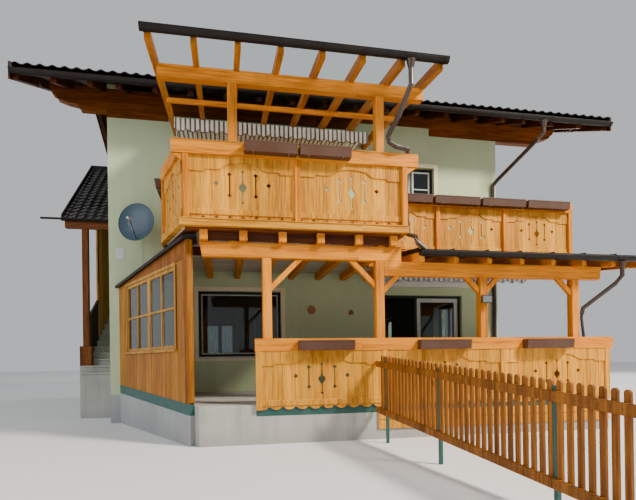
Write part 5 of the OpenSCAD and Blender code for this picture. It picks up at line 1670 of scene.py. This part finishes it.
@dataclass
class Openings:
    """Sashes, sills, door leaves and their handles."""

    inset: float = 0.10  # Depth of the frames in the wall
    frame: float = 0.06  # Width of a frame
    rail: float = 0.11  # Width of a door leaf's rails
    play: float = 0.003  # Gap between a door leaf and its frame
    middle: float = 0.85  # Height of a door leaf's middle rail above its foot
    grip: float = 1.05  # Height of a door's handle above its sill

    def windows(self) -> list[Window]:
        """Lists the house's windows."""
        shared = ((1, 1.70), (1, 6.50), (2, 1.50), (2, 6.10), (3, 1.30))
        low = [Window(side, left, 1.50, 2.79, 1.20) for side, left in shared]
        high = [Window(side, left, 4.50, 5.76, 1.08) for side, left in shared]
        return [Window(0, 1.80, 1.36, 2.79, 1.79, 1), *low, Window(0, 6.19, 4.50, 5.76, 1.08), *high]

    def sashes(self) -> None:
        """Builds the sashes with their glazing bars, and the metal sills."""
        wood = Bench()
        sills = Bench()
        for window in self.windows():
            place = window.place()
            each = (window.width - self.frame) / window.lights
            for i in range(window.lights):
                left = window.left + self.frame + i * each
                right = left + each - self.frame
                near = self.inset + 0.004
                far = self.inset + 0.026
                low = window.sill + self.frame
                high = window.head - self.frame
                width = 0.042 if window.lights > 1 else 0.024
                wood.ring((left, near, low), (right, far, high), width, 0.003, place)
                if window.sill > 3.0:
                    middle = low + 0.62 * (high - low)
                    wood.block((left + 0.042, near + 0.004, middle),
                               (right - 0.042, far, middle + 0.026), 0.003, place)
            left = window.left + 0.004
            right = window.left + window.width - 0.004
            corners = [(self.inset, window.sill + 0.001), (-0.042, window.sill - 0.016),
                       (-0.042, window.sill - 0.04), (-0.036, window.sill - 0.04),
                       (-0.036, window.sill - 0.022), (self.inset, window.sill - 0.004)]
            sills.prism([(left, y, z + 0.006) for y, z in corners], (right - left, 0.0, 0.0), place)
        wood.piece("sashes", "leaf", "leaf_white")
        sills.piece("window_sills", "steel", "metal_brown")

    def doors(self) -> None:
        """Builds the upper doors with their panels and handles."""
        bench = Bench()
        metal = Bench()
        rail = self.rail
        for door in (Window(0, 3.00, 3.60, 5.70, 1.40, 2), Window(3, 2.97, 3.60, 5.65, 0.90, 1)):
            place = door.place()
            bench.ring((door.left, 0.1, door.sill), (door.left + door.width, 0.15, door.head), self.frame,
                       0.003, place)
            each = (door.width - 2 * self.frame) / door.lights
            for i in range(door.lights):
                left = door.left + self.frame + i * each + self.play
                right = left + each - 2 * self.play
                low = door.sill + self.frame + self.play
                high = door.head - self.frame - self.play
                bench.ring((left, 0.104, low), (right, 0.146, high), rail, 0.003, place)
                middle = low + self.middle
                bench.block((left + rail, 0.106, middle), (right - rail, 0.144, middle + rail), 0.003, place)
                for a, b in ((low + rail, middle), (middle + rail, high - rail)):
                    bench.block((left + rail, 0.118, a), (right - rail, 0.136, b), 0.0, place)
                    bench.block((left + 0.15, 0.108, a + 0.04), (right - 0.15, 0.13, b - 0.04), 0.008, place)
            grip = door.left + door.width - 0.12 if door.lights == 1 else door.left + door.width / 2 + 0.05
            height = door.sill + self.grip
            spot = [place @ Vector((grip + u, y, height))
                    for u, y in ((0.0, 0.104), (0.0, 0.06), (-0.11, 0.06))]
            metal.tube(spot, 0.008, 10)
            metal.block((grip - 0.018, 0.099, height - 0.12), (grip + 0.018, 0.105, height + 0.10), 0.002,
                        place)
        bench.piece("upper_door_leaves", "door", "door_brown", ["upper_doors"])
        metal.piece("door_handles", "steel", "fitting_grey")

    def terrace_handle(self) -> None:
        """Builds the handle of the open terrace leaf, which moves with it."""
        bench = Bench()
        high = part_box("terrace_door_leaf")[1]
        tip = Vector((high[0], high[1] - 0.045, 1.65))
        bench.block(tip + Vector((-0.001, -0.016, -0.11)), tip + Vector((0.006, 0.016, 0.11)), 0.002)
        bench.tube([tip, tip + Vector((0.045, 0.0, 0.0)), tip + Vector((0.045, -0.12, 0.0))], 0.009, 10)
        bench.piece("terrace_handle", "steel", "fitting_grey", body=Body.LEAF)

    def build(self) -> None:
        """Builds the parts of all openings."""
        self.sashes()
        self.doors()
        self.terrace_handle()


@dataclass
class NetCurtain:
    """A net on its rod behind the front window."""

    left: float = 1.84  # Left end
    right: float = 3.55  # Right end
    top: float = 2.86  # Height of the rod
    low: float = 1.40  # Height of the lower edge
    deep: float = 0.43  # Distance of the rod behind the wall's outer face
    folds: int = 24  # Number of folds
    swing: float = 0.017  # Depth of a fold to either side of the rod
    rod: float = 0.009  # Radius of the rod

    def build(self) -> None:
        """Builds the rod with its brackets, and the net in even folds."""
        bench = Bench()
        bench.tube([SITE.at(self.left - 0.04, self.deep, self.top),
                    SITE.at(self.right + 0.04, self.deep, self.top)], self.rod)
        for x in (self.left - 0.03, self.right + 0.03):
            bench.box((x - 0.007, SITE.wall, self.top - 0.013),
                      (x + 0.007, self.deep + 0.006, self.top + 0.013), 0.002)
        bench.piece("net_rod", "plate", "fitting_grey")
        net = Bench()
        steps = self.folds * 8
        rows = []
        for k in range(8):
            z = self.top + 0.012 - (self.top + 0.012 - self.low) * k / 7
            rows.append([SITE.at(self.left + (self.right - self.left) * i / steps,
                                 self.deep + self.swing * math.sin(math.tau * i / 8), z)
                         for i in range(steps + 1)])
        net.grid(rows)
        made = net.piece("window_net", "net", "awning_cloth", smooth=80.0)


# Sheet metal


@dataclass
class SheetMetal:
    """Clips and rims of the gutters, clips of the pipes and seams of the lower roof."""

    # Left end, right end, middle, radius and distance of the clips of each gutter
    lines: tuple[tuple[float, ...], ...] = (
        (-1.41, 11.12, -1.1153, 0.075, 0.72), (1.30, 5.63, -4.1303, 0.070, 0.62),
        (5.34, 9.49, -3.6903, 0.070, 0.63))
    pipe: tuple[float, float] = (8.77, -0.05)  # Middle of the pipe at the front wall
    clips: tuple[float, ...] = (1.1, 2.0, 2.7, 3.9, 4.7, 5.3)  # Heights of the pipe's clips
    seam: float = 0.008  # Width of a seam
    bays: int = 7  # Number of bays between the seams

    def rim(self, y: float) -> float:
        """Reads the height of a gutter's rim off the solid.

        Args:
            y: Middle of the gutter.

        Returns:
            The height.
        """
        gutters = frame["nodes"]["gutters"]
        at = SITE.at(0.0, y, 0.0).y
        heights = [spot.z for spot in (gutters.matrix_world @ vert.co for vert in gutters.data.vertices)
                   if abs(spot.y - at) < 0.08]
        return max(heights)

    def gutters(self) -> None:
        """Builds the gutters' clips and rolled rims."""
        bench = Bench()
        arc = [math.pi + math.pi * k / 10 for k in range(11)]
        for left, right, middle, radius, pitch in self.lines:
            rim = self.rim(middle)
            count = round((right - left) / pitch)
            step = (right - left - 0.12) / count
            for i in range(count + 1):
                x = left + 0.06 + i * step
                bench.grid([[SITE.at(x + u, middle + r * math.cos(a), rim + r * math.sin(a)) for a in arc]
                            for u, r in ((-0.014, radius + 0.003), (-0.014, radius + 0.007),
                                         (0.014, radius + 0.007), (0.014, radius + 0.003))])
            front = middle - radius + 0.003
            bench.tube([SITE.at(left, front, rim - 0.001), SITE.at(right, front, rim - 0.001)], 0.008, 8)
        bench.piece("gutter_clips", "metal", "metal_brown", smooth=50.0)

    def pipe_clips(self) -> None:
        """Builds the clips that hold the pipe at the front wall."""
        bench = Bench()
        x, y = self.pipe
        arc = [math.tau * k / 16 for k in range(17)]
        for z in self.clips:
            bench.grid([[SITE.at(x + r * math.cos(a), y + r * math.sin(a), z + up) for a in arc]
                        for up, r in ((-0.015, 0.045), (-0.015, 0.05), (0.015, 0.05), (0.015, 0.045))])
            bench.box((x - 0.006, -0.006, z - 0.01), (x + 0.006, 0.0, z + 0.01))
        bench.piece("pipe_clips", "pipe", "metal_brown", smooth=50.0)

    def seams(self) -> None:
        """Builds the standing seams of the lower roof."""
        bench = Bench()
        low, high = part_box("lower_roof")
        step = (high[0] - low[0]) / self.bays
        foot = low[2] + 0.0504
        top = high[2] - 0.03 * (high[2] - foot) / (high[1] - low[1])
        outline = [(low[1], foot - 0.001), (high[1] - 0.03, top - 0.001), (high[1] - 0.03, top + 0.02),
                   (low[1], foot + 0.02)]
        for i in range(self.bays + 1):
            x = min(low[0] + i * step, high[0] - self.seam)
            bench.prism([(x, y, z) for y, z in outline], (self.seam, 0.0, 0.0))
        bench.piece("roof_seams", "metal", "metal_brown")

    def build(self) -> None:
        """Builds all sheet metal details."""
        self.gutters()
        self.pipe_clips()
        self.seams()


@dataclass
class Canopy:
    """Glazing bars on the canopy's rafters."""

    pitch: float = 7.8  # Pitch in degrees
    left: float = 1.39  # First rafter's middle
    right: float = 5.54  # Last rafter's middle
    count: int = 8  # Number of rafters
    bar: float = 0.05  # Width of a bar
    thick: float = 0.012  # Thickness of a bar

    def build(self) -> None:
        """Builds the bars."""
        bench = Bench()
        low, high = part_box("canopy_glass")
        step = (self.right - self.left) / (self.count - 1)
        foot = high[2] - (high[1] - low[1]) * math.tan(math.radians(self.pitch))
        outline = [(low[1], foot), (high[1], high[2]), (high[1], high[2] + self.thick),
                   (low[1], foot + self.thick)]
        for i in range(self.count):
            x = self.left + i * step - self.bar / 2 - SITE.width / 2
            bench.prism([(x, y, z) for y, z in outline], (self.bar, 0.0, 0.0))
        bench.piece("glazing_bars", "metal", "metal_brown")


# Fittings


@dataclass
class Troughs:
    """Troughs with rims, hooks and soil."""

    height: float = 0.15  # Height of a trough
    depth: float = 0.16  # Depth of a trough at its rim
    wall: float = 0.007  # Thickness of its walls
    balcony: float = 4.31  # Height of the troughs' floors at the balconies
    terrace: float = 1.415  # Height of the troughs' floors at the terrace

    def places(self) -> list[tuple[Matrix, float]]:
        """Lists the placement and the length of each trough."""
        rows = [(x, -3.5603, self.balcony, 0.78) for x in (3.05, 3.87)]
        rows += [(5.90 + 1.01 * i, -1.7603, self.balcony, 0.95) for i in range(4)]
        rows += [(x, -3.4603, self.terrace, 0.86) for x in (3.87, 5.80, 7.66)]
        found = [(Matrix.Translation(SITE.at(x, y, z)), length) for x, y, z, length in rows]
        side = stand(SITE.at(1.34, -1.50, self.balcony), -90.0)
        return found[:2] + [(side, 0.95)] + found[2:]

    def shell(self, bench: Bench, length: float, place: Matrix) -> None:
        """Adds a trough's shell with a rolled rim.

        Args:
            bench: Bench that gathers the shells.
            length: Length of the trough.
            place: Placement of the trough.
        """
        wall = self.wall
        outline = [(0.0, 0.0), (0.0, self.height), (-wall, self.height), (-wall, wall),
                   (wall - self.depth + 0.025, wall), (wall - self.depth + 0.006, self.height - 0.02),
                   (wall - self.depth, self.height - 0.012), (wall - self.depth, self.height),
                   (-self.depth, self.height), (-self.depth, self.height - 0.016),
                   (0.006 - self.depth, self.height - 0.024), (0.025 - self.depth, 0.0)]
        bench.prism([(-length / 2, y, z) for y, z in outline], (length, 0.0, 0.0), place)
        ends = [(-0.001, 0.001), (-0.001, self.height - 0.002), (0.006 - self.depth, self.height - 0.002),
                (0.03 - self.depth, 0.001)]
        for x in (-length / 2 + 0.001, length / 2 - wall):
            bench.prism([(x, y, z) for y, z in ends], (wall - 0.001, 0.0, 0.0), place)

    def build(self) -> None:
        """Builds all troughs with their soil and hooks."""
        shells = Bench()
        soil = Bench()
        hooks = Bench()
        for place, length in self.places():
            self.shell(shells, length, place)
            steps = 26
            rows = []
            for k in range(7):
                y = -self.wall - (self.depth - 2.2 * self.wall) * k / 6
                row = []
                for i in range(steps + 1):
                    x = -length / 2 + self.wall + (length - 2 * self.wall) * i / steps
                    lump = 0.008 * math.sin(9.1 * i + 2.3 * k) + 0.006 * random.random()
                    row.append(place @ Vector((x, y, self.height - 0.032 + lump)))
                rows.append(row)
            soil.grid(rows)
            for x in (-length / 3, length / 3):
                hooks.tube([place @ Vector((x, y, -0.006)) for y in (-0.002, -0.08, 0.015 - self.depth)],
                           0.004, 8)
        shells.piece("troughs", "trough", "box_brown", ["flower_boxes"])
        soil.piece("trough_soil", "soil", "box_brown", smooth=60.0)
        hooks.piece("trough_hooks", "steel", "metal_brown")


@dataclass
class DishParts:
    """Rim, feed, bolts and cable of the dish."""

    centre: tuple[float, float, float] = (0.65, -0.42, 4.09)  # Middle of the bowl
    radius: float = 0.38  # Radius of the bowl
    focus: float = 0.52  # Distance of the bowl's focus
    feed: tuple[float, float, float] = (0.0, -0.02, 0.36)  # Place of the feed on the bowl's axes

    def place(self) -> Matrix:
        """Gives the placement whose Z is the bowl's axis."""
        turn = Matrix.Rotation(math.radians(-20.0), 4, "Z") @ Matrix.Rotation(math.radians(86.0), 4, "X")
        return Matrix.Translation(SITE.at(*self.centre)) @ turn

    def build(self) -> None:
        """Builds the rim, the feed, the bolts and the cable."""
        bench = Bench()
        place = self.place()
        depth = self.radius ** 2 / (4 * self.focus)
        rim = [place @ Vector((self.radius * math.cos(math.tau * k / 40),
                               self.radius * math.sin(math.tau * k / 40), depth)) for k in range(40)]
        bench.tube(rim, 0.007, 8, True)
        feed = place @ Vector(self.feed)
        axis = place.to_3x3() @ Vector((0.0, 0.12, -1.0))
        cap = Bench()
        cap.turned([(0.0, -0.03), (0.022, -0.03), (0.024, 0.03), (0.034, 0.045), (0.034, 0.07), (0.0, 0.075)],
                   feed, axis, 20)
        for x, y in ((-0.05, -0.04), (0.05, -0.04), (-0.05, 0.04), (0.05, 0.04)):
            bench.turned([(0.008, 0.0), (0.008, 0.005), (0.0, 0.007)], place @ Vector((x, y, 0.002)),
                         place.to_3x3() @ Vector((0.0, 0.0, 1.0)), 6)
        bench.piece("dish_parts", "slate", "dish_slate", smooth=40.0)
        cap.piece("dish_feed", "plate", "fitting_grey", smooth=40.0)
        cable = Bench()
        x, y, z = self.centre
        points = [feed, place @ Vector((0.0, -self.radius + 0.04, 0.06)), SITE.at(x, y + 0.12, z - 0.12),
                  SITE.at(x + 0.01, -0.02, z - 0.22), SITE.at(x + 0.02, -0.012, 3.3),
                  SITE.at(x - 0.02, -0.012, 2.98)]
        cable.tube(points, 0.004, 8)
        cable.piece("dish_cable", "leaf", "fitting_grey", smooth=60.0)


@dataclass
class Fittings:
    """Floodlight, bare number plate, two clay ornaments and the awnings' cranks."""

    lamp: tuple[float, float, float] = (6.59, -3.48, 2.23)  # Middle of the floodlight's front
    sun: tuple[float, float, float] = (4.28, 0.0, 2.39)  # Middle of the round ornament
    quarter: tuple[float, float, float] = (5.20, 0.0, 2.30)  # Foot of the second ornament
    plate_at: tuple[float, float] = (0.22, 3.55)  # Middle of the plate
    plate_size: tuple[float, float] = (0.17, 0.24)  # Width and height of the plate
    # How far each bend of a crank stands out and hangs below the cloth's bar
    bends: tuple[tuple[float, float], ...] = ((0.0, 0.0), (0.01, 0.08), (0.015, 1.15), (0.06, 1.19),
                                              (0.06, 1.29))

    def floodlight(self) -> None:
        """Builds the floodlight with its fins, yoke and glass."""
        bench = Bench()
        x, front, z = self.lamp
        bench.box((x - 0.09, front + 0.02, z - 0.065), (x + 0.09, front + 0.05, z + 0.065), 0.006)
        for i in range(7):
            at = x - 0.075 + 0.025 * i
            bench.box((at - 0.002, front + 0.05, z - 0.055), (at + 0.002, front + 0.07, z + 0.055))
        bench.ring(SITE.at(x - 0.09, front, z - 0.065), SITE.at(x + 0.09, front + 0.02, z + 0.065), 0.012,
                   0.002)
        bench.box((x - 0.02, front + 0.069, z - 0.03), (x + 0.02, -3.37, z + 0.01), 0.003)
        bench.piece("floodlight", "lamp_body", "fitting_grey", ["wall_fittings"])
        glass = Bench()
        glass.box((x - 0.078, front + 0.004, z - 0.053), (x + 0.078, front + 0.008, z + 0.053), 0.001)
        glass.piece("floodlight_glass", "lamp_glass", "glass")

    def ornaments(self) -> None:
        """Builds the sun and the quarter, both of clay."""
        bench = Bench()
        middle = SITE.at(*self.sun)
        out = Vector((0.0, -1.0, 0.0))
        disc = [(0.085, 0.0), (0.085, 0.006), (0.07, 0.014), (0.03, 0.018), (0.0, 0.018)]
        bench.turned(disc, middle, out, 24)
        for k in range(12):
            a = math.tau * k / 12
            tip = 0.128 if k % 2 == 0 else 0.108
            spread = 0.16
            points = [(0.083, a - spread), (tip, a), (0.083, a + spread)]
            outline = [middle + Vector((r * math.cos(b), 0.0, r * math.sin(b))) for r, b in points]
            bench.prism(outline, (0.0, -0.01, 0.0))
        quarter = SITE.at(*self.quarter)
        for radius, thick in ((0.11, 0.008), (0.075, 0.013), (0.04, 0.018)):
            arc = [quarter + Vector((radius * math.cos(a) * 0.55, 0.0, radius * math.sin(a) - 0.01))
                   for a in (math.pi * k / 12 for k in range(13))]
            bench.prism(arc, (0.0, -thick, 0.0))
        bench.piece("clay_ornaments", "terracotta", "fitting_grey", smooth=30.0)

    def plate(self) -> None:
        """Builds the bare plate with its four screws."""
        bench = Bench()
        x, z = self.plate_at
        wide, high = (size / 2 for size in self.plate_size)
        bench.box((x - wide, -0.006, z - high), (x + wide, 0.0, z + high), 0.002)
        inset = 0.015
        for x in (x - wide + inset, x + wide - inset):
            for z in (self.plate_at[1] - high + inset, self.plate_at[1] + high - inset):
                bench.turned([(0.005, 0.0), (0.004, 0.002), (0.0, 0.002)], SITE.at(x, -0.0058, z),
                             Vector((0.0, -1.0, 0.0)), 10)
        bench.piece("bare_plate", "plate", "fitting_grey")

    def crank(self) -> None:
        """Builds the crank rods of the awnings."""
        bench = Bench()
        for x, top, reach in ((1.50, 5.87, 1.17), (8.5, 2.93, 0.09)):
            path = [SITE.at(x, -reach - out, top - drop) for out, drop in self.bends]
            bench.tube(path[:3], 0.006, 8)
            bench.tube(path[2:], 0.007, 8)
        bench.piece("awning_cranks", "white_metal", "awning_metal")

    def build(self) -> None:
        """Builds all small fittings."""
        self.floodlight()
        self.ornaments()
        self.plate()
        self.crank()


@dataclass
class Steps:
    """Stone treads on the stair's flight."""

    start: float = 1.89  # Where the flight starts
    go: float = 0.27  # Depth of a step
    rise: float = 0.16  # Height of a step
    count: int = 15  # Number of steps
    foot: float = 1.20  # Height of the flight's foot
    # Front edge and height of each step below the flight
    lower: tuple[tuple[float, float], ...] = ((1.15, 1.04), (1.42, 1.20))

    def build(self) -> None:
        """Builds the treads' worn nosings."""
        bench = Bench()
        edges = list(self.lower)
        edges += [(self.start + i * self.go, self.foot + (i + 1) * self.rise) for i in range(self.count - 1)]
        for y, top in edges:
            bench.box((-0.898, y - 0.022, top - 0.036), (-0.002, y + 0.002, top + 0.003), 0.005)
        bench.piece("stair_nosings", "stone", "concrete")


@dataclass(frozen=True)
class House:
    """Solids that keep their shapes."""

    # Key of each finish, followed by the nodes that take it
    plain: tuple[tuple[str, ...], ...] = (
        ("plinth", "foundation"),
        ("stucco", "front_wall_left", "front_wall_right", "front_wall_over_door", "left_wall", "right_wall",
         "back_wall"),
        ("inner_floor", "upper_floor"),
        ("cream", "window_surrounds"),
        ("frame", "window_frames", "terrace_door_frame"),
        ("glass", "ground_glass", "upper_glass", "terrace_door_pane"),
        ("leaf", "terrace_door_fixed_leaf", "terrace_door_leaf"),
        ("rust_x", "purlins"),
        # Rafters and barge boards take the reddish tone, darkened as painted shade
        ("shaded_red_y", "rafters", "barge_boards"),
        ("metal", "gutters", "lower_roof", "screen_roof"),
        ("pipe", "downpipes"),
        ("honey_x", "canopy_beams", "balcony_rail", "terrace_rail"),
        ("honey_y", "lower_rafters"),
        # The canopy's rafters take the honey tone darkened as painted shade
        ("shaded_honey_y", "canopy_rafters"),
        ("larch_x", "balcony_deck"),
        ("canopy_glass", "canopy_glass"),
        ("ceiling", "porch_ceiling"),
        ("stone", "terrace_base", "stair_steps"),
        ("green", "fence_posts"),
        ("casement", "screen_windows"),
        ("slate", "satellite_dish"),
        ("white_metal", "awning_frames"))

    def build(self) -> None:
        """Dresses the solids."""
        for finish, *nodes in self.plain:
            Workshop.dress(finish, *nodes)


@dataclass
class Studio:
    """Camera, floor and light."""

    place: tuple[float, float, float] = (-2.106, -15.572, 1.275)  # Camera's place
    heading: float = 10.93  # Turn from the depth axis towards the right, in degrees
    tilt: float = 0.1  # Pitch upwards in degrees
    roll: float = -0.8  # Roll to the left in degrees
    lens: float = 27.5  # Focal length on a sensor 36 mm wide
    shift: float = 0.1707  # Upward shift of the frame

    def camera(self) -> None:
        """Sets up the camera at the photograph's angle."""
        data = bpy.data.cameras.new("view")
        data.lens = self.lens
        data.sensor_width = 36.0
        data.shift_y = self.shift
        data.clip_end = 200.0
        camera = bpy.data.objects.new("view", data)
        camera.matrix_world = (
            Matrix.Translation(Vector(self.place))
            @ Matrix.Rotation(math.radians(-self.heading), 4, "Z")
            @ Matrix.Rotation(math.radians(90.0 + self.tilt), 4, "X")
            @ Matrix.Rotation(math.radians(self.roll), 4, "Z")
        )
        bpy.context.scene.collection.objects.link(camera)
        bpy.context.scene.camera = camera

    def floor(self) -> None:
        """Lays the pale floor."""
        mesh = bpy.data.meshes.new("studio_floor")
        reach = 70.0
        corners = [(-reach, -reach, 0.0), (reach, -reach, 0.0), (reach, reach, 0.0), (-reach, reach, 0.0)]
        mesh.from_pydata(corners, [], [(0, 1, 2, 3)])
        floor = bpy.data.objects.new("studio_floor", mesh)
        floor.data.materials.append(Workshop.finish("floor"))
        bpy.context.scene.collection.objects.link(floor)

    def light(self) -> None:
        """Hangs the soft lights."""
        world = bpy.data.worlds.new("studio_air")
        world.use_nodes = True
        background = world.node_tree.nodes["Background"]
        background.inputs["Color"].default_value = (0.93, 0.96, 1.0, 1.0)
        background.inputs["Strength"].default_value = 0.6
        bpy.context.scene.world = world
        lights = (
            ("key", (15.0, -21.0, 18.0), (0.0, -3.0, 3.5), 4.0, 12000.0, (1.0, 0.93, 0.80)),
            ("fill", (-17.0, -15.0, 9.0), (-1.0, -2.0, 3.0), 12.0, 1600.0, (0.90, 0.95, 1.0)),
            ("rim", (24.0, 14.0, 15.0), (0.0, 0.0, 4.0), 10.0, 3000.0, (1.0, 1.0, 1.0)),
        )
        for name, place, aim, size, power, tone in lights:
            data = bpy.data.lights.new(name, "AREA")
            data.size = size
            data.energy = power
            data.color = tone
            lamp = bpy.data.objects.new(name, data)
            lamp.location = place
            lamp.rotation_euler = (Vector(aim) - Vector(place)).to_track_quat("-Z", "Y").to_euler()
            bpy.context.scene.collection.objects.link(lamp)

    def build(self) -> None:
        """Sets up the studio."""
        self.camera()
        self.floor()
        self.light()


def main() -> None:
    """Builds the house in order."""
    logging.basicConfig(level=logging.INFO, format="%(name)s: %(message)s")
    random.seed(7)
    parts = (Studio(), House(), MainRoof(), Frame(), Balustrades(), Boarding(), StairRoof(),
             Fence(), Openings(), NetCurtain(), SheetMetal(), Canopy(), Awnings(), Troughs(), DishParts(),
             Fittings(), Steps())
    for part in parts:
        LOG.info("builds %s", type(part).__name__)
        part.build()


if __name__ == "__main__":
    main()
